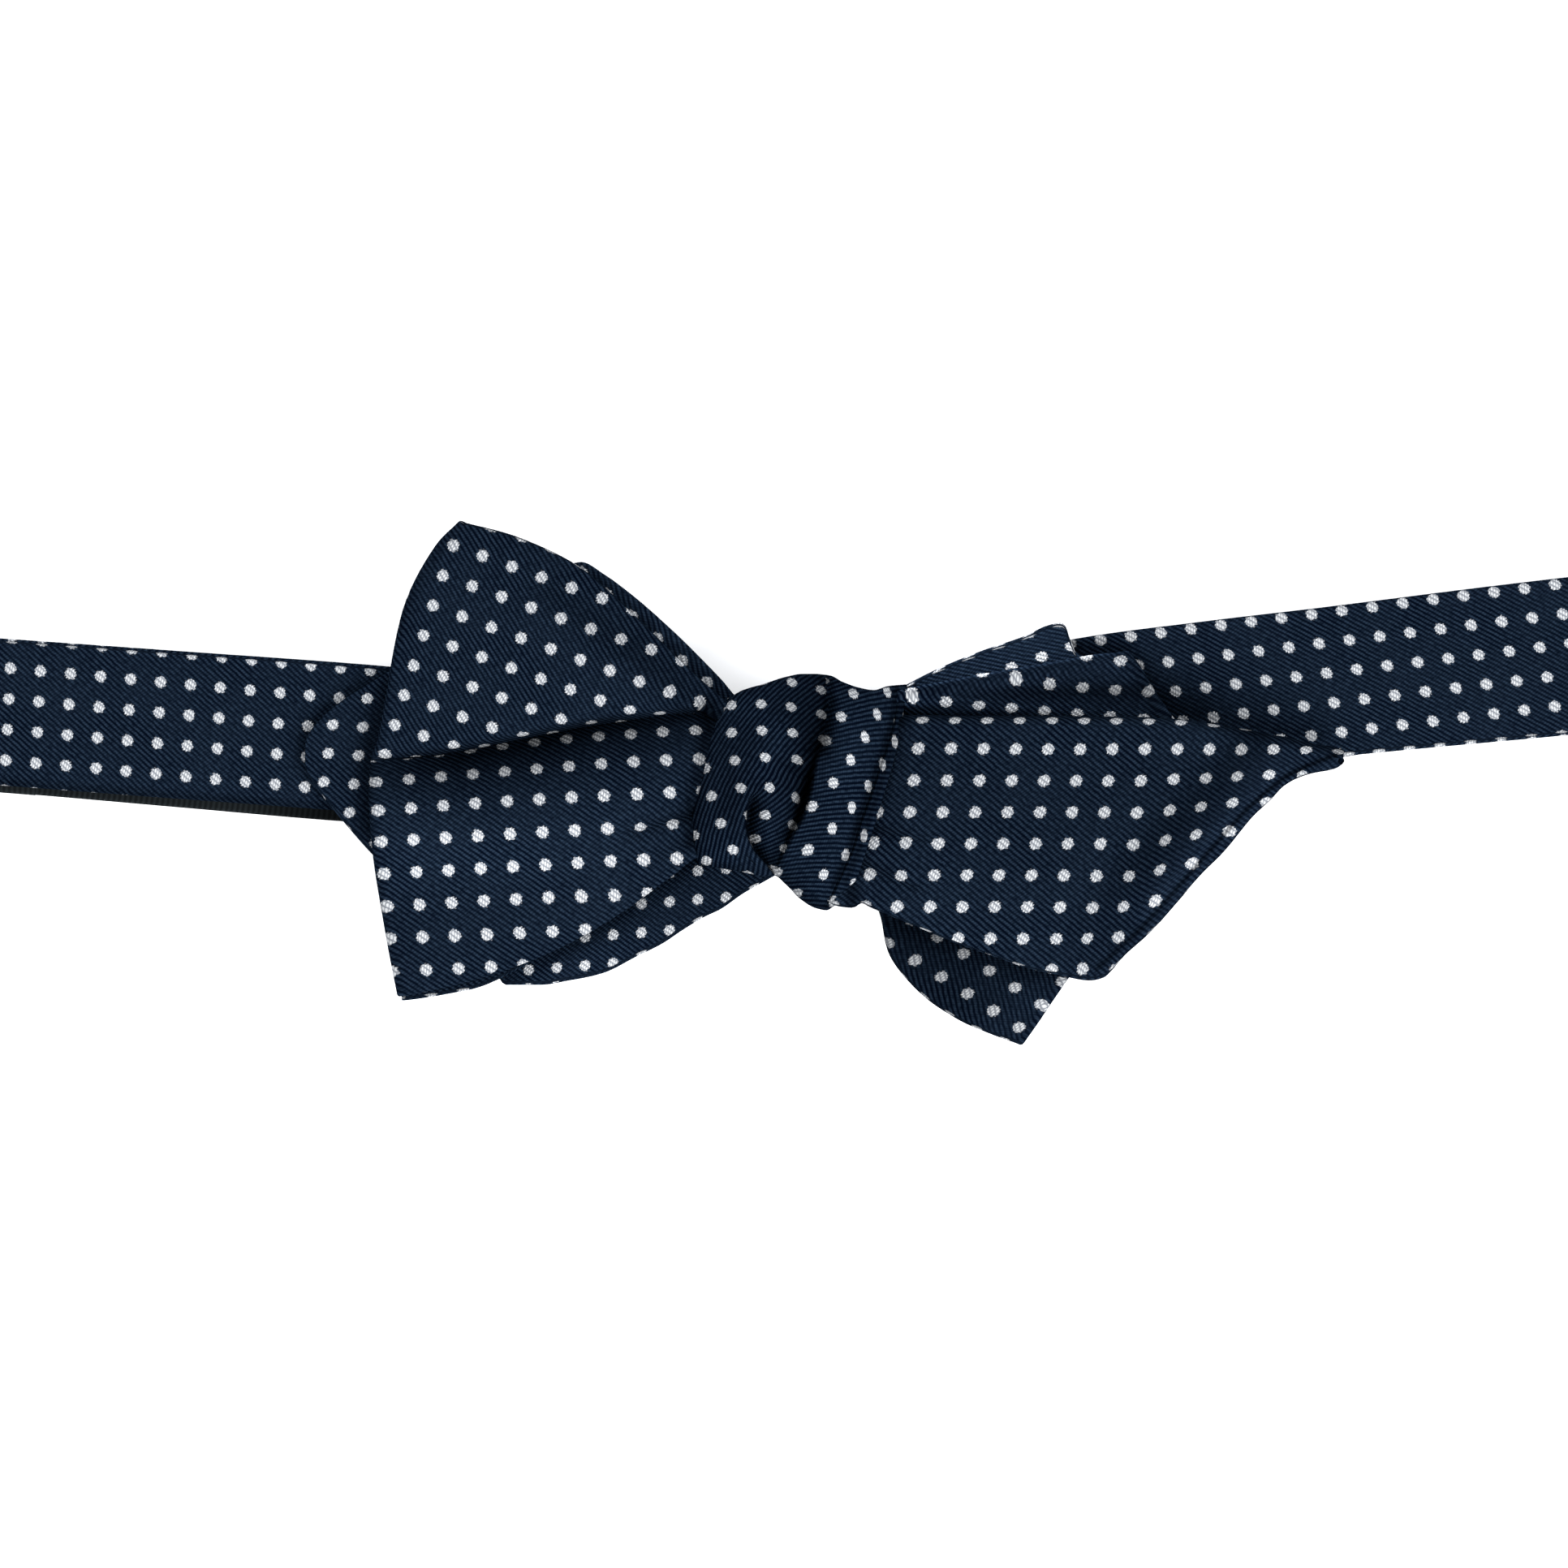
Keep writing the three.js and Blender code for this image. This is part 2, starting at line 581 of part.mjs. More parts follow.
function knotLines(spread) {
  const around = 32;
  const widest = KNOT_BASE + 0.37 * KNOT_DEPTH;
  const back = KNOT_BASE + CLOTH / 2;
  const square = 2 / 2.6;
  const power = (value) => Math.sign(value) * Math.pow(Math.abs(value), square);
  return KNOT_RINGS.map((ring, i) => {
    const outward = (i === KNOT_RINGS.length - 1 ? 1 : 0) - (i === 0 ? 1 : 0);
    const top = ring.top * KNOT_HEIGHT - CLOTH / 2;
    const bottom = ring.bottom * KNOT_HEIGHT + CLOTH / 2;
    const points = [];
    for (let n = 0; n < around; n += 1) {
      const angle = (2 * Math.PI * n) / around;
      const rise = power(Math.sin(angle));
      const y = mix(bottom, top, (1 + power(Math.cos(angle))) / 2);
      const front = KNOT_BASE + ring.front * KNOT_DEPTH - CLOTH / 2;
      const z = rise > 0 ? mix(widest, front, rise) : mix(widest, back, -rise);
      const up = (y - bottom) / (top - bottom);
      const x = mix(mix(ring.xBottom, ring.xMid, up), mix(ring.xMid, ring.xTop, up), up);
      points.push(new THREE.Vector3(x * KNOT_WIDTH + outward * spread, y, z));
    }
    return points;
  });
}

const navy = { color: 0x1b2a40, roughness: 0.55, metalness: 0 };
const navyLight = { color: 0x22334c, roughness: 0.55, metalness: 0 };
const black = { color: 0x1a1c1e, roughness: 0.85, metalness: 0 };
const steel = { color: 0xb9bcc0, roughness: 0.35, metalness: 0.9 };

const KNOT_ROWS = 12;
const KNOT_ROOM = 2.4 * CLEARANCE;
const knotRoom = solidOf(clothThrough(knotLines(KNOT_ROOM), KNOT_ROWS, true, CLOTH + 2 * KNOT_ROOM));
const group = new THREE.Group();
const pieces = [
  ["knot", clothThrough(knotLines(0), KNOT_ROWS, true), navyLight],
  ["front_loop", clearOfKnot(loopCloth(FRONT_LOOP), knotRoom), navy],
  ["rear_loop", clearOfKnot(loopCloth(REAR_LOOP), knotRoom), navy],
  ["front_tail", clearOfKnot(frontTail(), knotRoom), navyLight],
  ["rear_tail", clearOfKnot(rearTail(), knotRoom), navyLight],
  ["neckband_left", clearOfKnot(neckbandLeft(), knotRoom), navy],
  ["neckband_right", clearOfKnot(neckbandRight(), knotRoom), navy],
  ["adjuster_tape", adjusterTape(), black],
  ["clasp", clasp(), steel],
];
for (const [name, geometry, look] of pieces) {
  const mesh = new THREE.Mesh(geometry, new THREE.MeshStandardMaterial(look));
  mesh.name = name;
  group.add(mesh);
}

// The origin is the middle of the underside of the bounding box
const box = new THREE.Box3().setFromObject(group);
const middle = box.getCenter(new THREE.Vector3());
group.position.set(-middle.x, -middle.y, -box.min.z);

export default group;
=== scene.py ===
"""A self-tied bow tie with diamond points in navy dotted silk, laid front up on a pale table."""

import math

import bpy
import numpy as np
from bpy.props import FloatProperty, FloatVectorProperty, PointerProperty
from bpy.types import Operator, Panel, PropertyGroup
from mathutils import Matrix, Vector


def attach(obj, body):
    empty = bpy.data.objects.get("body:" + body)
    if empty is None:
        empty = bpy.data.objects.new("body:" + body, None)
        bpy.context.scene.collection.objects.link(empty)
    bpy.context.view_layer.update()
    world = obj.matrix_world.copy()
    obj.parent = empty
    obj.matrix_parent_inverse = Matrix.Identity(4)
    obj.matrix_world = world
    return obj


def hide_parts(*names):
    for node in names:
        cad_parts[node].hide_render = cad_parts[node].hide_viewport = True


bl_info = {
    "name": "Diamond Point Bow Tie",
    "version": (1, 0, 0),
    "blender": (4, 5, 0),
    "location": "View3D > Sidebar > Bow Tie",
    "description": "Builds a knotted silk bow tie with diamond points, its neckband and a studio",
    "category": "Add Mesh",
}

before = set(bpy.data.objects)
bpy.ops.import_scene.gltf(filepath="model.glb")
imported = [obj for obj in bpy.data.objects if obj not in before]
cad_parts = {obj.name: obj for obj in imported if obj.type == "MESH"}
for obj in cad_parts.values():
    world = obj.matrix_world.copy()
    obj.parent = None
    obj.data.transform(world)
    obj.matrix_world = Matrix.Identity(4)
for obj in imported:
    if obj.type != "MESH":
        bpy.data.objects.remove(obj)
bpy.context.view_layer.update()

# Millimetres to metres, and the middle of the photographed tie in the frame of the part
MM = 0.001
MIDDLE = np.array([-0.2952, -0.0389, 0.0])

# Heights over the table, in millimetres, of the neckband and the cloth layers on it
BAND_SEAT = 5.25
BAND_CREST = 9.5
HALF_LOOP = 107.0
LAYER = {"rear": 7.2, "middle": 8.85}

# How the woven repeat lies on each part of the cloth, in millimetres on the laid-out tie: one
# dot, the step along a row and the step down a column.
WEAVE = {
    "band_left": ((-80.83, 9.15), (3.66, -0.33), (-0.19, -3.77)),
    "band_right": ((75.43, 10.95), (3.72, 0.45), (0.93, -3.64)),
    "loop_upper": ((-32.21, 17.89), (3.61, -1.33), (-1.19, -3.67)),
    "loop_lower": ((-33.54, -6.06), (3.95, 0.23), (0.35, -4.0)),
    "tail_front": ((27.42, -3.43), (3.96, -0.01), (-0.5, -3.86)),
    "rear_dark": ((32.6, 12.54), (4.06, -0.38), (-0.52, -3.25)),
    "rear_corner": ((28.09, 14.4), (3.7, 1.3), (1.5, -3.0)),
    "front_strip": ((-32.09, 17.02), (3.61, -1.33), (-1.19, -3.67)),
    "rear_lobe": ((22.65, -25.72), (3.17, -2.07), (-2.64, -2.79)),
    "tail_tip": ((-56.27, 3.79), (3.74, -0.27), (-0.55, -3.52)),
    "tail_top": ((-25.0, 26.1), (3.1, -2.7), (-2.5, -2.9)),
    "tail_low": ((-17.61, -18.32), (3.47, 0.27), (-0.02, -3.54)),
}

# Where the cloth is gathered in the knot its repeat is bent: each row is a dot's x and y with
# its number along the row and down the column.
BENT_WEAVE = {
    "knot_wrap": [
        (-2.7, 11.9, 0, 1), (4.7, 12.4, 0, 3), (-6.9, 9.5, -1, 0), (-3.0, 9.8, -1, 1), (0.9, 9.3, -1, 2),
        (4.5, 8.8, -1, 3), (-6.4, 6.8, -2, 0), (-2.5, 6.7, -2, 1), (1.1, 5.5, -2, 2), (5.1, 5.2, -2, 3),
        (-9.5, 2.35, -3, -1), (-5.8, 3.6, -3, 0), (-1.85, 3.3, -3, 1), (1.2, 2.0, -3, 2),
        (-8.8, -1.4, -4, -1), (-5.1, 0.3, -4, 0), (-1.5, -0.15, -4, 1), (-7.85, -5.2, -5, -1),
        (-5.0, -3.5, -5, 0), (-10.9, -6.9, -5, -2), (-6.35, -8.5, -6, -1), (-9.4, -9.7, -6, -2),
        (-4.4, -10.3, -7, -1),
    ],
    "knot_belly": [
        (-5.8, 3.6, -3, 0), (-1.85, 3.3, -3, 1), (1.2, 2.0, -3, 2), (-5.1, 0.3, -4, 0),
        (-1.5, -0.15, -4, 1), (1.6, -1.4, -4, 2), (-2.5, -3.8, -5, 1), (1.0, -5.15, -5, 2),
        (-3.8, -6.7, -6, 1), (-0.7, -8.3, -6, 2), (-0.6, -10.3, -7, 2),
    ],
    "knot_strip": [
        (6.15, 0.3, 0, 0), (8.4, 3.2, 1, 0), (10.1, 5.9, 2, 0), (11.5, 8.7, 3, 0), (3.65, -2.5, -1, 0),
        (5.1, 5.2, 1, -1), (7.0, 8.4, 2, -1), (8.4, 11.0, 3, -1), (12.6, 11.0, 4, 0), (8.0, -3.0, 0, 1),
        (10.4, -0.1, 1, 1), (5.4, -5.9, -1, 1), (2.4, -8.6, -2, 1), (4.9, -11.4, -2, 2), (7.6, -8.6, -1, 2),
        (2.1, -12.9, -3, 2),
    ],
}
WEAVE_NAMES = [*WEAVE, *BENT_WEAVE, "knot_front"]

# Size of the repeat on flat cloth, the spacing of the twill ribs, their angle to the rows and
# the spacing of the threads across them, and the tape's ribs
REPEAT = 3.85
RIB_PITCH = 0.57
RIB_ANGLE = math.radians(-38)
THREAD_PITCH = 0.33
TAPE_RIB = 0.7


def smooth(share):
    s = np.clip(share, 0.0, 1.0)
    return s * s * (3 - 2 * s)


def hermite(s, start, end, slope_start, slope_end):
    """Cubic from start to end, s of the way along, with the slopes that it has at both."""
    s2, s3 = s * s, s * s * s
    value = (2 * s3 - 3 * s2 + 1) * start + (s3 - 2 * s2 + s) * slope_start
    return value + (3 * s2 - 2 * s3) * end + (s3 - s2) * slope_end


def through(points, count):
    """Points evenly placed, by index, on a smooth curve through rows of an array."""
    p = np.asarray(points, float)
    last = len(p) - 1
    t = np.linspace(0, last, count) if np.isscalar(count) else np.asarray(count, float)
    i = np.clip(np.floor(t).astype(int), 0, last - 1)
    s = (t - i).reshape((-1,) + (1,) * (p.ndim - 1))
    before, start, end, after = (p[np.clip(i + k, 0, last)] for k in (-1, 0, 1, 2))
    return hermite(s, start, end, (end - before) / 2, (after - start) / 2)


def level_slopes(t, values):
    """Slopes at the rows of a table that keep a curve through them from overshooting."""
    step = np.diff(t).reshape((-1,) + (1,) * (values.ndim - 1))
    rise = np.diff(values, axis=0) / step
    before, after = rise[:-1], rise[1:]
    same = before * after > 0
    whole = np.where(same, before + after, 1.0)
    inner = np.where(same, 2 * before * after / whole, 0.0)
    return np.concatenate([rise[:1], inner, rise[-1:]])


def look_up(table, x, column=1):
    """Value at x of a curve through a column of a table, which doesn't overshoot its rows."""
    xs, ys = np.array([(row[0], row[column]) for row in table], float).T
    slopes = level_slopes(xs, ys)
    i = np.clip(np.searchsorted(xs, x) - 1, 0, len(xs) - 2)
    h = xs[i + 1] - xs[i]
    return hermite(np.clip((x - xs[i]) / h, 0, 1), ys[i], ys[i + 1], h * slopes[i], h * slopes[i + 1])


def across_lines(lines, spacing, least):
    """Rows of points across guide lines, closer together where the lines are close.

    Returns the rows and the number of the row on each guide line.
    """
    p = np.asarray(lines, float)
    gaps = np.linalg.norm(np.diff(p, axis=0), axis=2).mean(axis=1)
    t = np.concatenate([[0], np.cumsum(gaps)])
    counts = [max(least, round(gap / spacing)) for gap in gaps]
    places = [np.linspace(t[i], t[i + 1], n, endpoint=False) for i, n in enumerate(counts)]
    places = np.concatenate([*places, [t[-1]]])
    slopes = level_slopes(t, p)
    i = np.clip(np.searchsorted(t, places, side="right") - 1, 0, len(t) - 2)
    h = (t[i + 1] - t[i])[:, None, None]
    s = (places - t[i])[:, None, None] / h
    return hermite(s, p[i], p[i + 1], h * slopes[i], h * slopes[i + 1]), [0, *np.cumsum(counts)]


def band_height(x):
    low, high = 0.42 * HALF_LOOP, 0.95 * HALF_LOOP
    return BAND_SEAT + (BAND_CREST - BAND_SEAT) * smooth((np.abs(x) - low) / (high - low))


def beside(x, y, line):
    """Distance to a line, positive on its left going along it, and the share of the way along."""
    points = np.array(line, float)
    length = np.concatenate([[0], np.cumsum(np.hypot(*np.diff(points, axis=0).T))])
    best, signed, share = np.full(np.shape(x), 1e9), np.zeros(np.shape(x)), np.zeros(np.shape(x))
    for i, ((x0, y0), (dx, dy)) in enumerate(zip(points, np.diff(points, axis=0))):
        size = math.hypot(dx, dy)
        t = np.clip(((x - x0) * dx + (y - y0) * dy) / size**2, 0, 1)
        away = np.hypot(x - x0 - t * dx, y - y0 - t * dy)
        side = np.where(dx * (y - y0) - dy * (x - x0) >= 0, 1, -1)
        nearer = away < best
        best = np.where(nearer, away, best)
        signed = np.where(nearer, away * side, signed)
        share = np.where(nearer, (length[i] + t * size) / length[-1], share)
    return signed, share


def near_line(x, y, line, width):
    """1 on a line through points of the laid-out tie, falling to 0 about width away."""
    return np.exp(-((beside(x, y, line)[0] / width) ** 2))


def walk(middle, axis):
    """Way over a surface from its first row, along one axis."""
    steps = np.linalg.norm(np.diff(middle, axis=axis), axis=2)
    return np.insert(np.cumsum(steps, axis=axis), 0, 0, axis=axis)


def ripple(x, y, length, seed):
    """Slow uneven swell of laid cloth, between about -1 and 1."""
    random = np.random.default_rng(seed)
    total = np.zeros(np.shape(x))
    for _ in range(7):
        angle, phase = random.uniform(0, math.tau, 2)
        k = math.tau / (length * random.uniform(0.7, 1.8))
        total += np.sin(k * (x * math.cos(angle) + y * math.sin(angle)) + phase)
    return total / 4


def unit(vectors):
    return vectors / np.maximum(np.linalg.norm(vectors, axis=-1, keepdims=True), 1e-9)


def normals_of(middle):
    return unit(np.cross(np.gradient(middle, axis=0), np.gradient(middle, axis=1)))


# Section of a sewn edge: how far out and how high each point lies, as shares of the thickness
SEWN_EDGE = [
    (0.18, 0.46), (0.3, 0.3), (0.3, 0.12), (0.12, 0.0), (0.34, -0.12), (0.42, -0.28), (0.26, -0.45),
]
FOLDED_EDGE = [(0.2, 0.46), (0.38, 0.3), (0.46, 0.1), (0.46, -0.1), (0.38, -0.3), (0.2, -0.46)]


# Way over the laid-flat cloth from one point of an edge's section to the next, and how far the
# knot's rims reach past its last row, as shares of the thickness and of the last gap
EDGE_STEP = 0.2
RIM_REACH = 0.9


def ring_faces(stations, ring, closed=False):
    """Corners of the faces between rings of points, round each ring and station by station."""
    k, m = np.meshgrid(np.arange(stations if closed else stations - 1), np.arange(ring), indexing="ij")
    after, beyond = (m + 1) % ring, (k + 1) % stations
    corners = (k * ring + m, beyond * ring + m, beyond * ring + after, k * ring + after)
    return np.stack(corners, axis=-1).reshape(-1, 4).tolist()


def cloth(name, middle, thickness, base, weave, profile=SEWN_EDGE):
    """Mesh of a cloth with two faces and edges, about a middle surface of stations and rows.

    base holds the laid-flat place of each point and weave the part of the repeat of each
    face, by station and row.
    """
    stations, rows = middle.shape[:2]
    n = normals_of(middle)
    thick = np.broadcast_to(np.asarray(thickness, float), (stations, rows))[..., None]
    upper, lower = middle + n * thick / 2, middle - n * thick / 2
    points, flat = [upper], [base]

    def edge(row, inner, profile):
        out, t = middle[:, row] - middle[:, inner], thick[:, row]
        step = (base[:, row] - base[:, inner]) / np.maximum(np.linalg.norm(out, axis=1), 1e-6)[:, None]
        for number, (reach, height) in enumerate(profile, 1):
            points.append((middle[:, row] + unit(out) * reach * t + n[:, row] * height * t)[:, None])
            flat.append((base[:, row] + step * EDGE_STEP * number * t)[:, None])

    edge(-1, -2, profile)
    points.append(lower[:, ::-1])
    flat.append(base[:, ::-1])
    edge(0, 1, profile[::-1])
    grid, flat = np.concatenate(points, axis=1), np.concatenate(flat, axis=1)
    turn = len(profile) + 1
    face_row = [*range(rows - 1), *[rows - 2] * turn, *range(rows - 2, -1, -1), *[0] * turn]
    ring = grid.shape[1]
    faces = ring_faces(stations, ring)
    regions = list(weave[:, face_row].ravel())
    low_start = rows + len(profile)
    for k, turned in ((0, False), (stations - 1, True)):
        strips = [(i, i + 1, low_start + rows - 2 - i, low_start + rows - 1 - i) for i in range(rows - 1)]
        strips += [tuple(range(rows - 1, low_start + 1)), (*range(low_start + rows - 1, ring), 0)]
        for strip in strips:
            faces.append([k * ring + m for m in (strip[::-1] if turned else strip)])
            regions.append(weave[min(k, stations - 2), 0])
    return mesh_object(name, grid.reshape(-1, 3), faces, flat.reshape(-1, 2), regions)


def ring_cloth(name, middle, thickness, base, weave):
    """Cloth that closes on itself round the bow; base has one station more than middle."""
    stations, rows = middle.shape[:2]
    n = normals_of(np.concatenate([middle[-1:], middle, middle[:1]]))[1:-1]
    n *= np.sign(n[stations // 4, :, 2].mean())

    def rim(row, inner):
        beyond = (middle[:, row] - middle[:, inner]) * RIM_REACH
        return (middle[:, row] - n[:, row] * thickness / 2 + beyond)[:, None]

    grid = np.concatenate([middle, rim(-1, -2), (middle - n * thickness)[:, ::-1], rim(0, 1)], axis=1)
    flat = np.concatenate([base, base[:, -1:], base[:, ::-1], base[:, :1]], axis=1)[:-1]
    face_row = [*range(rows - 1), rows - 2, rows - 2, *range(rows - 2, -1, -1), 0, 0]
    faces = ring_faces(stations, grid.shape[1], closed=True)
    return mesh_object(name, grid.reshape(-1, 3), faces, flat.reshape(-1, 2), weave[:, face_row].ravel())


def bent_repeat(rows, x, y):
    """Place in a bent repeat: a smooth fit through its dots, carried on straight past them."""
    table = np.array(rows, float)

    def terms(x, y):
        return np.stack([np.ones_like(x), x, y, x * x, x * y, y * y], axis=-1)

    fit = np.linalg.lstsq(terms(table[:, 0], table[:, 1]), table[:, 2:], rcond=None)[0]
    near_x = np.clip(x, table[:, 0].min() - 2, table[:, 0].max() + 2)
    near_y = np.clip(y, table[:, 1].min() - 2, table[:, 1].max() + 2)
    zero, one = np.zeros_like(near_x), np.ones_like(near_x)
    along_x = np.stack([zero, one, zero, 2 * near_x, near_y, zero], axis=-1) @ fit
    along_y = np.stack([zero, zero, one, zero, near_x, 2 * near_y], axis=-1) @ fit
    return terms(near_x, near_y) @ fit + along_x * (x - near_x)[:, None] + along_y * (y - near_y)[:, None]


def repeat_at(key, place):
    """Place in the woven repeat, in rows and columns of dots, of places on the laid-out tie."""
    if key == "knot_front":
        wrap, belly = (repeat_at(part, place) for part in ("knot_wrap", "knot_belly"))
        return wrap + (belly - wrap) * on_belly(place[:, 0], place[:, 1])[:, None]
    if key in BENT_WEAVE:
        return bent_repeat(BENT_WEAVE[key], place[:, 0], place[:, 1])
    dot, row, column = (np.array(v) for v in WEAVE[key])
    return np.linalg.solve(np.array([row, column]).T, (place - dot).T).T


def mesh_object(name, points, faces, flat, regions):
    """Object with a map that places the woven repeat on every face."""
    mesh = bpy.data.meshes.new(name)
    mesh.from_pydata(((points + MIDDLE) * MM).tolist(), [], [tuple(int(i) for i in f) for f in faces])
    loops = np.zeros(len(mesh.loops), np.int32)
    mesh.loops.foreach_get("vertex_index", loops)
    totals = np.zeros(len(mesh.polygons), np.int32)
    mesh.polygons.foreach_get("loop_total", totals)
    region = np.repeat(np.asarray(regions)[: len(totals)], totals)
    repeat = np.zeros((len(loops), 2))
    for number, key in enumerate(WEAVE_NAMES):
        here = region == number
        if here.any():
            repeat[here] = repeat_at(key, flat[loops[here]])
    layer = mesh.uv_layers.new(name="Weave")
    layer.data.foreach_set("uv", repeat.astype(np.float32).ravel())
    mesh.polygons.foreach_set("use_smooth", np.ones(len(mesh.polygons), bool))
    mesh.update()
    obj = bpy.data.objects.new(name, mesh)
    bpy.context.scene.collection.objects.link(obj)
    fix_normals(mesh)
    return obj


def fix_normals(mesh):
    """Turns all faces over if the closed mesh has them pointing inwards."""
    volume = 0.0
    mesh.calc_loop_triangles()
    for triangle in mesh.loop_triangles:
        a, b, c = (mesh.vertices[i].co for i in triangle.vertices)
        volume += a.dot(b.cross(c))
    if volume < 0:
        mesh.flip_normals()


# Folds of the knot, from top to bottom: the lip over the belly, the left edge of the strip, the
# soft valley over it and the sewn edge on the strip's right
LIP = [
    (-3.1, -0.9), (-4.1, -1.8), (-4.5, -3.4), (-4.6, -5.2), (-4.3, -6.7), (-3.5, -8.3), (-2.3, -9.6),
    (-1.2, -11.0),
]
STRIP_LEFT = [
    (4.5, 4.6), (3.9, 2.4), (3.4, -0.2), (2.8, -2.6), (2.1, -4.5), (1.1, -6.2), (0.2, -8.0), (-0.7, -9.8),
    (-1.2, -11.4),
]
VALLEY = [(5.2, 12.6), (5.5, 10.0), (5.1, 7.4), (4.5, 4.6)]
STRIP_RIGHT = [
    (14.0, 12.6), (13.7, 10.0), (13.2, 7.6), (12.3, 4.5), (11.3, 1.7), (10.3, -1.4), (9.1, -4.5),
    (8.1, -8.0), (7.2, -10.0), (6.1, -12.4), (4.9, -14.8),
]

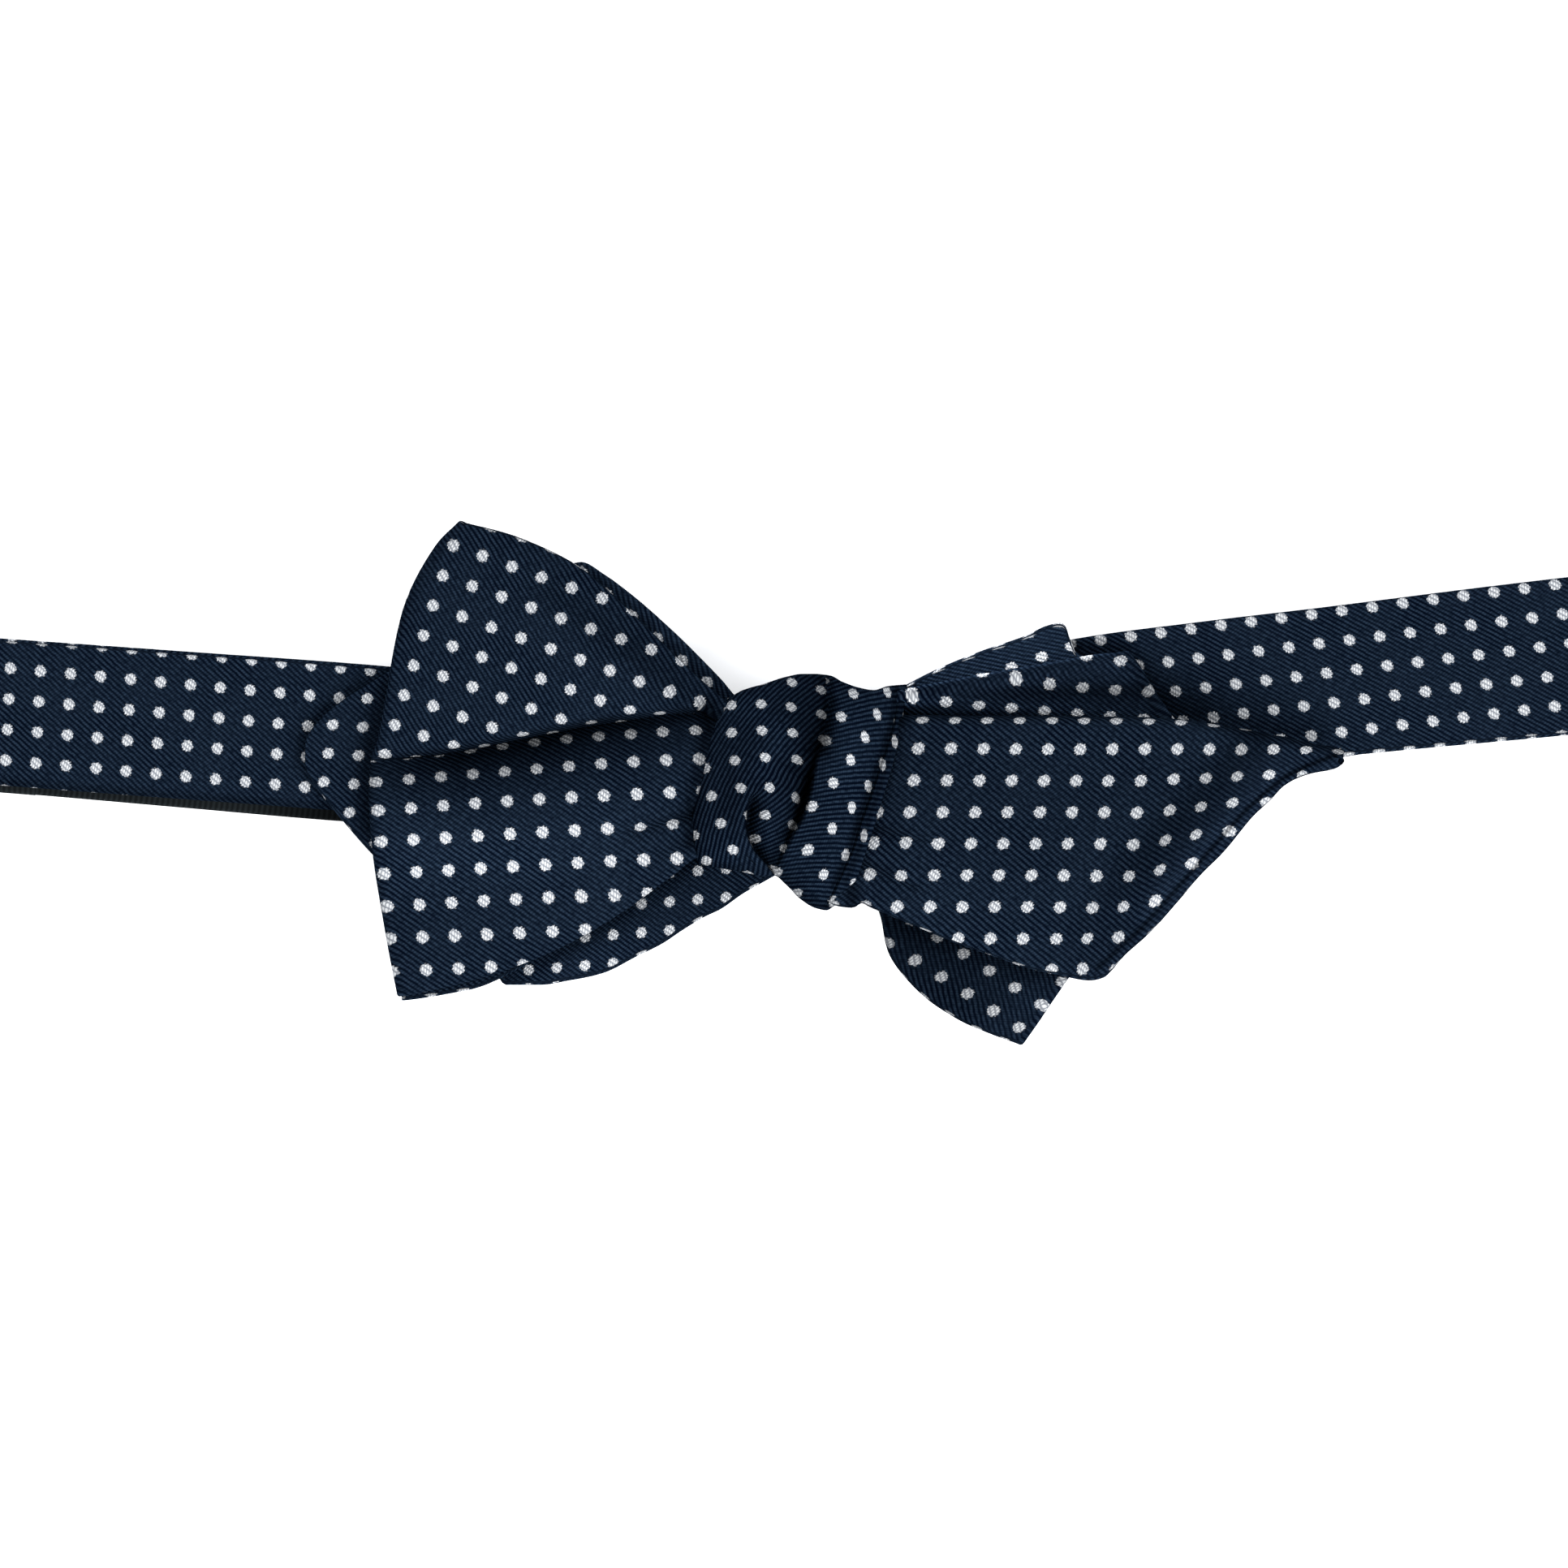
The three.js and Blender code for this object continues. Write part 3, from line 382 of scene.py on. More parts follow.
# Painted shade and painted light on each piece, in stops: darkening painted into creases, hollows,
# along edges and where neighbouring pieces cast their shadow, and lightening painted on lit crests and
# where real shadow falls too deep. Each entry is a line on the laid-out tie, the stops along it and how
# far they reach on its left and its right going along the line; then come the limits of what all
# painted shading together takes or gives
DARKEST, LIGHTEST = -3, 1.4
PAINTED_SHADING = {
    # painted shade along the top edge, in the crease, at the folded edge, in the dents and beside the knot;
    # painted light on the lower half
    "silk_loop_front": [
        ([(-28.6, 23.6), (-19, 16.5), (-10.6, 9.6)], (-0.3, -0.5, -0.4), 2.2, 2.2),
        ([(-49.4, 2.8), (-40, 3.7), (-32, 5.2), (-22.6, 7.4), (-15, 8.0), (-10, 8.8)],
         (-0.9, -1.9, -1.9, -1.3, -0.8), 0.6, 3.8),
        ([(-40.4, 32), (-45.2, 25), (-48.8, 16), (-50.8, 6), (-51.4, 0), (-50.4, -12), (-47.6, -25)],
         (-0.5, -0.5, -0.3), 1.1, 1.1),
        ([(-18.6, -5.6), (-11.0, -3.6)], (-0.1, -0.7), 0.9, 0.9),
        ([(-16, -8.8), (-10.6, -6.6)], (-0.1, -0.6), 0.8, 0.8),
        ([(-9.2, 9.6), (-9.4, 7.2), (-10.4, 1.9), (-11.2, -1.2), (-11.5, -4.3), (-11.2, -7.1)],
         (-1.4, -1.0, -0.8, -1.2), 1.0, 1.0),
        ([(-46, -9), (-30, -9), (-16, -4)], (0.4, 0.35, 0.1), 5.0, 5.0),
    ],
    # painted shadow under the front loop's bottom edge and beside its folded edge; painted light on the
    # lower part
    "silk_tail_rear": [
        ([(-34, -24.6), (-24.2, -18.6), (-17, -13), (-11, -9), (-6, -8)],
         (-0.5, -0.6, -0.8, -1.2), 1.2, 1.2),
        ([(-32, -23.6), (-24, -21.6), (-16, -18)], (0.5, 0.5, 0.2), 2.4, 2.4),
        ([(-48.6, 12), (-51.0, 6), (-51.8, 0), (-51.4, -5)], (-0.6, -0.8, -0.7), 1.3, 1.3),
    ],
    # painted shadow beside the rear tail's point and along the band's lower edge
    "silk_band_left": [
        ([(-49.4, 12.8), (-54, 10.4), (-58.8, 6.2), (-59.5, 3.4), (-56, -2.4), (-53, -6)],
         (-0.5, -0.6, -0.6), 1.0, 1.0),
        ([(-105, 0.7), (-96.6, 0.05), (-54, -3.15)], (-0.8, -0.8), 0.5, 0.5),
    ],
    # painted shade near the bow and under the band's edge
    "grosgrain_tape": [
        ([(-66.5, -3.2), (-62, -3.7), (-57, -4.2), (-50, -5.0)], (0, -1.0, -1.5, -1.6), 3.0, 3.0),
        ([(-105, 0.4), (-96.6, -0.2), (-54, -3.4)], (-0.5, -0.5), 0.4, 0.4),
    ],
    # painted shade on the ridge, over the middle, in the dent down to the point, along the sewn edge, beside
    # the knot and in the puckers; painted highlight on the rim beside the dent
    "silk_tail_front": [
        ([(8, 8.6), (49, 8.5), (54, 7.4), (61, 6.0), (68.4, 4.4)], (-0.9, -0.6, -0.6, -0.9), 0.9, 0.9),
        ([(14, 2), (30, -4), (44, -2)], (-0.25, -0.2, -0.2), 9.0, 9.0),
        ([(57.4, 5.0), (48.6, -4.4), (40, -13.6), (37, -18)], (-0.8, -0.7, -0.6, -0.2), 2.6, 2.6),
        ([(61, 2.0), (53, -6.4), (44, -16.0)], (0.2, 0.45, 0.4), 1.3, 1.3),
        ([(67.8, 3.6), (64.4, 2.3), (61.7, 1.0), (58.9, -1.2), (56.5, -3.4), (52.5, -7.9),
          (47.4, -13.8), (44.1, -17.5), (41.2, -20.2), (38.6, -22.6)],
         (-1.8, -1.8, -1.6, -1.4), 0.28, 0.28),
        ([(14.2, 8), (12.4, 1.7), (11.4, -1.4), (10.4, -4.5), (9.2, -8.0), (8.2, -12.0), (8.6, -14.6)],
         (-1.2, -0.9, -0.8, -1.2), 0.9, 0.9),
        ([(10, -5), (16, -6.5)], (-0.6, -0.1), 0.7, 0.7),
        ([(10, -9.8), (16, -12.5)], (-0.5, -0.1), 0.8, 0.8),
    ],
    # painted light under the front tail's ridge and on the back corner; painted shade below the top edge and
    # beside the folded edge; painted shadow of the front tail on the lobe
    "silk_loop_rear": [
        ([(12, 9.5), (30, 9.45), (47, 9.0)], (0.9, 1.3, 1.1, 0.5), 0.95, 0.7),
        ([(16, 11.2), (32, 11.4), (44, 11.4)], (-0.3, -0.8, -0.8), 0.9, 0.9),
        ([(28, 12.4), (36, 12.6), (45, 11)], (-0.1, -0.5, -0.6), 1.9, 2.4),
        ([(41.6, 15.8), (43.2, 14), (45, 10.8), (46.6, 8)], (-0.4, -0.5, -0.6), 0.8, 0.8),
        ([(15, 11.6), (21, 12.8), (27, 13.9), (33, 14.9), (38, 15.8), (41.2, 16.2)],
         (1.0, 1.5, 1.5, 1.0), 5.0, 0.15),
        ([(10, -15), (12, -15.6), (21.1, -19.3), (30.7, -22.6), (34.6, -23.4)],
         (-1.2, -1.3, -1.0, -0.8), 1.0, 2.4),
        ([(14, -20), (20, -25), (27, -28)], (-0.95, -0.95, -0.6), 4.6, 4.6),
        ([(26, -30.6), (32, -24)], (0.3, 0.2), 1.6, 1.6),
    ],
    # painted shadow beside the rear loop's edges and near the front tail's ridge
    "silk_band_right": [
        ([(35.3, 19.0), (35.2, 15.4)], (-0.8, -0.9), 1.0, 0.4),
        ([(36, 16.2), (41.9, 15.9), (43.8, 14.2), (45.6, 10.8), (47.2, 8)],
         (-0.6, -0.9, -1.0, -0.9), 1.4, 0.5),
        ([(47.5, 10.4), (51.5, 9.8)], (-0.7, -0.7), 2.0, 2.0),
        ([(49, 8.9), (57.4, 7.6), (66, 5.6)], (-0.7, -0.5, -0.4), 0.7, 0.4),
    ],
    # painted shade at the rims, in the creases of lip, strip and valley, over the wrap and along the sewn
    # edge; painted light on the strip and the wrap
    "silk_knot": [
        ([(-7.6, 10.4), (-8.6, 8.9), (-9.4, 7.2), (-10.6, 1.9), (-11.4, -4.3), (-11.0, -8.6)],
         (-0.9, -0.8, -0.7, -0.6), 0.9, 0.9),
        (STRIP_LEFT[:-1], (-0.9, -1.6, -2.4, -2.2, -1.4, -1.0), 0.22, 1.5),
        (LIP[1:], (-0.6, -1.4, -1.2, -1.2, -0.8), 1.2, 0.2),
        ([(5.0, 12.6), (5.4, 10.0), (5.0, 7.4), (4.5, 4.6)], (-0.8, -1.0, -0.9), 1.2, 1.8),
        ([(2.6, 12.2), (3.4, 8.4), (3.2, 4.4), (1.0, 0.6)], (-0.3, -0.7, -0.9, -0.7), 2.2, 2.2),
        ([(-7.6, -2), (-5, 4), (0, 9)], (-0.55, -0.5, -0.45), 4.2, 4.2),
        ([(14.0, 12.6), (13.2, 7.6), (12.3, 4.5), (11.3, 1.7), (10.3, -1.4), (9.1, -4.5), (8.1, -8.0),
          (6.1, -12.4)], (-0.9, -1.2, -1.2, -1.0), 0.3, 0.5),
        ([(15.1, 12.4), (14.3, 7.7), (12.4, 1.7), (10.3, -4.5), (9.2, -8.0), (7.5, -12)],
         (-0.9, -0.9), 0.4, 0.4),
        ([(-6.5, 10.9), (-3.5, 12.2), (0.5, 13.6), (5, 13.2), (8.6, 11.7), (14, 12.2)],
         (-0.5, -0.5, -0.4), 0.8, 0.8),
        ([(-10.2, -9.9), (-4, -11.0)], (-0.4, -0.6), 0.8, 0.8),
        ([(0.6, -12.2), (2.6, -14.8), (5, -15.6), (7, -14.6)], (-0.5, -1.0, -1.0, -0.8), 1.2, 1.2),
        ([(9.5, 9), (8.6, 4), (6, -2)], (0.1, 0.3, 0.1), 1.8, 1.8),
        ([(-4.5, 9.4), (-0.6, 6.0), (-3.0, 2)], (0.2, 0.5, 0.2), 1.4, 1.4),
    ],
}


def paint_shading(obj):
    """Keeps on each point, in stops, the painted shade and painted light of the folds and neighbouring
    pieces near it.
    """
    mesh = obj.data
    place = np.zeros(len(mesh.vertices) * 3, np.float32)
    mesh.vertices.foreach_get("co", place)
    place = place.reshape(-1, 3) / MM - MIDDLE
    stops = np.zeros(len(place))
    for line, along, left, right in PAINTED_SHADING.get(obj.name, ()):
        away, share = beside(place[:, 0], place[:, 1], line)
        level = np.interp(share, np.linspace(0, 1, len(along)), along)
        stops += level * np.exp(-((away / np.where(away > 0, left, right)) ** 2))
    fold = mesh.attributes.new("PaintedShading", "FLOAT", "POINT")
    fold.data.foreach_set("value", np.clip(stops, DARKEST, LIGHTEST).astype(np.float32))


def weave_of(shape, key):
    return np.full((shape[0] - 1, shape[1] - 1), WEAVE_NAMES.index(key))


def finish_sheet(obj, node):
    # Paints shade and light onto the piece as a stored attribute
    paint_shading(obj)
    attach(obj, "root")
    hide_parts(node)


# Materials

# Where the ribs' faces begin and end on their wave, the size of the dots to that of flat cloth,
# and how far the ribs sink where the cloth lies smooth
SILK_LEVELS = {
    "navy_silk_twill": (0.05, 0.85, 1.0, 0.25),
    "navy_silk_gathered": (0.2, 0.9, 0.94, 0.12),
}


class Shader:
    """Short ways to add and join nodes of one material."""

    def __init__(self, name):
        self.material = bpy.data.materials.new(name)
        self.material.use_nodes = True
        self.tree = self.material.node_tree
        self.tree.nodes.clear()
        self.out = self.tree.nodes.new("ShaderNodeOutputMaterial")
        self.body = self.tree.nodes.new("ShaderNodeBsdfPrincipled")
        self.tree.links.new(self.body.outputs[0], self.out.inputs["Surface"])

    def add(self, kind, outlet=0, settings=None, **inputs):
        node = self.tree.nodes.new(kind)
        for key, value in (settings or {}).items():
            setattr(node, key, value)
        for key, value in inputs.items():
            index = int(key[1:]) if key[0] == "i" and key[1:].isdigit() else key.replace("_", " ")
            self.put(node.inputs[index], value)
        return node.outputs[outlet]

    def put(self, socket, value):
        if isinstance(value, bpy.types.NodeSocket):
            self.tree.links.new(value, socket)
        else:
            socket.default_value = value

    def math(self, operation, *values):
        inputs = {f"i{n}": v for n, v in enumerate(values)}
        return self.add("ShaderNodeMath", settings={"operation": operation}, **inputs)

    def chain(self, operation, first, *values):
        for value in values:
            first = self.math(operation, first, value)
        return first

    def times(self, *values):
        return self.chain("MULTIPLY", *values)

    def plus(self, *values):
        return self.chain("ADD", *values)

    def line(self, value, slope, rise):
        return self.math("MULTIPLY_ADD", value, slope, rise)

    def wave(self, place, length):
        return self.math("COSINE", self.times(place, math.tau / length))

    def mix(self, share, a, b):
        inputs = {"i0": share, "i6": a, "i7": b}
        return self.add("ShaderNodeMix", outlet=2, settings={"data_type": "RGBA"}, **inputs)

    def step(self, value, low, high):
        inputs = {"i0": value, "i1": low, "i2": high, "i3": 0.0, "i4": 1.0}
        return self.add("ShaderNodeMapRange", settings={"interpolation_type": "SMOOTHSTEP"}, **inputs)


def colour(value):
    return (*value, 1.0)


def with_painted_shading(s, cloth_colour):
    """Colour of a cloth scaled by the painted shade and painted light kept on its points."""
    # The attribute holds painted shade and painted light, in stops
    fold = s.add("ShaderNodeAttribute", outlet=2, settings={"attribute_name": "PaintedShading"})
    share = s.math("POWER", 2.0, fold)
    return s.add("ShaderNodeVectorMath", settings={"operation": "SCALE"}, i0=cloth_colour, i3=share)


def silk_material(looks, name, rib_low, rib_high, dot_scale, flat):
    """Twill with small dots and raised ribs, whose faces lie between two levels of their wave.

    flat is how far the ribs sink into the plain cloth where it lies smooth.
    """
    s = Shader(name)
    repeat = s.add("ShaderNodeUVMap", settings={"uv_map": "Weave"})
    row = s.add("ShaderNodeSeparateXYZ", i0=repeat)
    column = row.node.outputs[1]
    cos, sin = math.cos(RIB_ANGLE) * REPEAT, math.sin(RIB_ANGLE) * REPEAT
    along = s.math("SUBTRACT", s.times(row, cos), s.times(column, sin))
    across = s.plus(s.times(row, sin), s.times(column, cos))
    threads = s.add("ShaderNodeCombineXYZ", X=along, Y=across)
    # Ribs wander a little, threads cross them, and both are broken into short uneven dashes
    wobble = s.add("ShaderNodeTexNoise", Vector=threads, Scale=0.9, Detail=2.0)
    rib_wave = s.wave(s.plus(across, s.line(wobble, 0.16, -0.08)), RIB_PITCH)
    rib = s.line(rib_wave, 0.5, 0.5)
    thread_wave = s.wave(s.plus(along, s.times(across, 0.3)), THREAD_PITCH)
    thread = s.line(thread_wave, 0.5, 0.5)
    grain = s.add("ShaderNodeTexNoise", Vector=threads, Scale=3.2, Detail=3.0, Roughness=0.6)
    patch = s.add("ShaderNodeTexNoise", Vector=threads, Scale=0.12, Detail=2.0)
    dashes = s.add("ShaderNodeCombineXYZ", X=s.times(along, 1.5), Y=s.times(across, 3.4))
    dash = s.add("ShaderNodeTexNoise", Vector=dashes, Scale=1.0, Detail=1.0)
    broken = s.math("MAXIMUM", s.line(dash, 2.6, -0.3), 0.05)
    face = s.step(rib, rib_low, rib_high)
    smoothed = s.times(s.step(patch, 0.3, 0.65), flat * 1.6)
    face = s.plus(face, s.times(s.math("SUBTRACT", 0.45, face), smoothed))
    worn = s.times(broken, s.line(patch, 0.5, 0.75))
    light = s.times(face, s.line(thread, 0.45, 0.55), s.line(grain, 1.1, 0.45), worn)
    navy = s.mix(light, colour(looks.silk_gap), colour(looks.silk_rib))
    # A dot stands at each whole row and column, with a ragged rim and its own crossing threads
    near = [s.math("SUBTRACT", s.math("FRACT", s.plus(v, 100.5)), 0.5) for v in (row, column)]
    away = s.times(s.math("SQRT", s.plus(*[s.times(v, v) for v in near])), REPEAT)
    ragged = s.plus(s.times(rib_wave, 0.06), s.times(thread_wave, 0.05), s.line(grain, 0.34, -0.17))
    radius = looks.dot_size / MM / 2 * dot_scale
    is_dot = s.math("SUBTRACT", 1.0, s.step(s.plus(away, ragged), radius - 0.06, radius + 0.06))
    cross = s.wave(s.math("SUBTRACT", along, s.times(across, 0.5)), 0.36)
    fleck = s.times(s.step(rib, 0.0, 0.55), s.step(cross, -1.2, 0.2), s.line(grain, 0.9, 0.5))
    white = s.mix(fleck, colour(looks.dot_shade), colour(looks.dot_light))
    # The dotted twill is darkened and lightened by the painted shade and light
    s.put(s.body.inputs["Base Color"], with_painted_shading(s, s.mix(is_dot, navy, white)))
    s.put(s.body.inputs["Roughness"], s.line(grain, 0.16, 0.42))
    s.put(s.body.inputs["Specular IOR Level"], looks.silk_gloss)
    height = s.plus(s.times(rib, 0.7), s.times(thread, 0.25), s.times(is_dot, 0.25))
    bump = s.add("ShaderNodeBump", Height=height, Distance=0.00016, Strength=1.0)
    s.put(s.body.inputs["Normal"], bump)
    return s.material


def tape_material(looks):
    """Matt ribbed tape."""
    s = Shader("black_tape_weave")
    weave = s.add("ShaderNodeUVMap", settings={"uv_map": "Weave"})
    along = s.add("ShaderNodeSeparateXYZ", i0=weave)
    wave = s.line(s.wave(along, TAPE_RIB / REPEAT), 0.5, 0.5)
    grain = s.add("ShaderNodeTexNoise", Vector=weave, Scale=16.0, Detail=3.0)
    dark = tuple(c * 0.45 for c in looks.tape_colour)
    light = s.times(wave, s.line(grain, 0.8, 0.6))
    # The ribbed tape is darkened by the painted shade near the bow and under the band
    s.put(s.body.inputs["Base Color"], with_painted_shading(s, s.mix(light, colour(dark), colour(looks.tape_colour))))
    s.put(s.body.inputs["Roughness"], 0.82)
    s.put(s.body.inputs["IOR"], 1.06)
    bump = s.add("ShaderNodeBump", Height=wave, Distance=0.00008, Strength=0.8)
    s.put(s.body.inputs["Normal"], bump)
    return s.material


def clasp_material():
    """Satin nickel with fine brushing."""
    s = Shader("satin_nickel")
    place = s.add("ShaderNodeTexCoord", outlet=3)
    stretched = s.add("ShaderNodeMapping", Vector=place, Scale=(400.0, 9000.0, 400.0))
    brush = s.add("ShaderNodeTexNoise", Vector=stretched, Scale=1.0, Detail=2.0)
    s.put(s.body.inputs["Base Color"], s.mix(brush, (0.56, 0.55, 0.53, 1), (0.7, 0.69, 0.67, 1)))
    s.put(s.body.inputs["Metallic"], 1.0)
    s.put(s.body.inputs["Roughness"], s.line(brush, 0.15, 0.25))
    return s.material


def silk(context, gathered=False):
    name = "navy_silk_gathered" if gathered else "navy_silk_twill"
    looks = context.scene.bow_tie_looks
    return bpy.data.materials.get(name) or silk_material(looks, name, *SILK_LEVELS[name])


# Bands

# Stations and rows of the neckband, how much narrower its flat middle is than its full width, and
# the slope of its height from which it counts as bending over
BAND_STATIONS = 150
BAND_ROWS = 25
STRAP_ROUNDING = 0.8
BEND_SLOPE = 0.2
# Width of the tape, its drop under the band's middle, and the top of the hooks round the clasp
TAPE_WIDTH = 13.0
TAPE_DROP = 1.75
HOOK_TOP = 3.4

# Middle line and width of each stretch: x, then y or width
LEFT_PLAN = [
    (-104.9, 9.5), (-96.6, 8.9), (-75, 7.32), (-54, 5.8), (-32, 3.9), (-16, 1.9), (-9, 0.7), (-1, 0.4),
]
LEFT_WIDTH = [(-104.9, 17.7), (-96.6, 17.8), (-54, 18.0), (-32, 17.2), (-16, 15), (-9, 14), (-1, 13.5)]
RIGHT_PLAN = [
    (1, 0.4), (10, 1.2), (18, 3.2), (35.4, 8.7), (52, 10.9), (68.4, 12.7), (82, 14.2), (96.6, 15.75),
    (108, 17.0),
]
RIGHT_WIDTH = [(1, 13.5), (10, 14), (18, 15.5), (35.4, 17.7), (68.4, 18.3), (96.6, 19.1), (108, 19.2)]
BACK_PLAN = [(30, 3.6), (40.7, 3.6), (45, 3.7), (60, 10.3), (75, 13.3), (96.3, 15.7), (108, 17.0)]
BACK_WIDTH = [(30, 13), (40, 13), (45, 13.8), (60, 16.8), (75, 18), (96.3, 18.8), (108, 19.2)]
TAPE_PLAN = [
    (-108, 6.3), (-96.6, 5.5), (-75, 3.65), (-55, 1.95), (-36, 0.8), (-20, 0.35), (2, 2.1), (14, 3.6),
    (24, 3.6),
]


def strap(path, rows, key):
    """Cloth strap along stations of x, height, plan line and width, with its flat places."""
    x, z, width = (np.array([p[c] for p in path], float) for c in (0, 1, 3))
    y, before, after = (np.array([look_up(p[2], p[0] + d) for p in path]) for d in (0, -0.5, 0.5))
    across = unit(np.stack([before - after, np.ones_like(x), np.zeros_like(x)], axis=1))[:, None]
    offset = np.linspace(-0.5, 0.5, rows)[None, :, None] * (width[:, None, None] - STRAP_ROUNDING)
    middle = np.stack([x, y, z], axis=1)[:, None] + across * offset
    walked = np.concatenate([[0], np.cumsum(np.hypot(np.diff(x), np.diff(z)))])
    direction = np.sign(x[1] - x[0])
    bends = np.abs(np.diff(z)) > BEND_SLOPE * np.diff(x) * direction
    turned = np.argmax(bends) if bends.any() else len(x) - 1
    straight = np.arange(len(x)) <= turned
    flat_x = np.where(straight, x, x[turned] + direction * (walked - walked[turned]))
    flat_y = np.where(straight, y, y[turned])
    base = np.stack([flat_x, flat_y], axis=1)[:, None] + across[..., :2] * offset
    return middle, base, weave_of(middle.shape, key)


def half_turn(x, low, high, side, steps, plan, width, upward):
    """Stations of a half turn in a vertical plane."""
    radius = (high - low) / 2
    start, way = (low, 1) if upward else (high, -1)
    stations = []
    for n in range(1, steps):
        a = math.pi * n / steps
        height = start + way * radius * (1 - math.cos(a))
        stations.append((x + side * radius * math.sin(a), height, plan, width))
    return stations


def run(start, end, steps, height, plan, widths):
    return [(x, float(height(x)), plan, float(look_up(widths, x))) for x in np.linspace(start, end, steps)]


def band_cloth(name, key, path, thickness, seed, swelling):
    """Neckband along a path, thin at its folded edges, with a slow swell where swelling is 1."""
    middle, base, weave = strap(path, BAND_ROWS, key)
    x, y = middle[..., 0], middle[..., 1]
    middle[..., 2] += 0.16 * ripple(x, y, 30, seed) * swelling(x)
    side = np.linspace(-1, 1, BAND_ROWS)
    depth = np.broadcast_to(thickness, len(path))[:, None] * (1 - 0.35 * np.abs(side) ** 4)
    return cloth(name, middle, depth, base, weave, FOLDED_EDGE)


def make_left_band(sizes):
    def swelling(x):
        return smooth((np.abs(x) - 20) / 30)

    path = run(-1.5, -102.9, BAND_STATIONS, band_height, LEFT_PLAN, LEFT_WIDTH)
    return band_cloth("silk_band_left", "band_left", path, sizes.band_thickness / MM, 3, swelling)


def make_right_band(sizes):
    thick = sizes.band_thickness / MM
    low = thick / 2
    turn_x = HALF_LOOP - (BAND_CREST - low) / 2 - low
    path = run(1.5, turn_x, BAND_STATIONS, band_height, RIGHT_PLAN, RIGHT_WIDTH)
    path += half_turn(turn_x, low, BAND_CREST, 1, 18, RIGHT_PLAN, path[-1][3], False)
    front, back = len(path), 90
    path += run(turn_x, 34, back, lambda x: low, BACK_PLAN, BACK_WIDTH)
    path += half_turn(34, 0.5, HOOK_TOP, -1, 10, BACK_PLAN, 13.0, True)
    path += run(34, 39, 6, lambda x: HOOK_TOP, BACK_PLAN, [(30, 13), (45, 13)])
    xs = np.array([p[0] for p in path])
    thickness = np.full(len(path), thick)
    thickness[front:] += (1.0 - thick) * smooth((47.2 - xs) / 9.6)[front:]
    for i in range(front, front + back):
        path[i] = (path[i][0], thickness[i] / 2, *path[i][2:])

    def swelling(x):
        out = (np.arange(len(path)) < BAND_STATIONS)[:, None]
        return smooth((x - 25) / 30) * out * smooth((turn_x - x) / 12)

    return band_cloth("silk_band_right", "band_right", path, thickness, 5, swelling)


def make_tape(sizes):
    def top(x):
        return band_height(x) - TAPE_DROP

    rows = 9
    turn_x = -HALF_LOOP + (top(-103) + 0.5) / 2
    widths = [(-110, TAPE_WIDTH), (30, TAPE_WIDTH)]
    path = run(turn_x + 11, turn_x, 10, top, TAPE_PLAN, widths)
    path += half_turn(turn_x, 0.5, float(top(turn_x)), -1, 16, TAPE_PLAN, TAPE_WIDTH, False)
    path += run(turn_x, 22, 120, lambda x: 0.5, TAPE_PLAN, widths)
    path += half_turn(22, 0.5, HOOK_TOP, 1, 10, TAPE_PLAN, TAPE_WIDTH, True)
    path += run(22, 17, 6, lambda x: HOOK_TOP, TAPE_PLAN, widths)
    middle, base, weave = strap(path, rows, "band_left")
    walked = walk(middle[:, 4:5], 0)
    base = np.stack(np.broadcast_arrays(walked, np.linspace(0, TAPE_WIDTH, rows)), axis=2)
    return cloth("grosgrain_tape", middle, 1.0, base, weave, FOLDED_EDGE)


# Loops

# Stations of a front leaf and of the back behind it, steps of the turn between them, how far the
# turn swings out as a share of its radius, how far it leans back, and how far the back sags
LEAF_STATIONS = 110
BACK_STATIONS = 70
TURN_STEPS = 8
TURN_REACH = 0.75
TURN_BACK = 0.4
BACK_SAG = 0.24
# Gap between the rows of a leaf, and the fewest rows between two guide lines
ROW_GAP = 0.6
LEAST_ROWS = 7

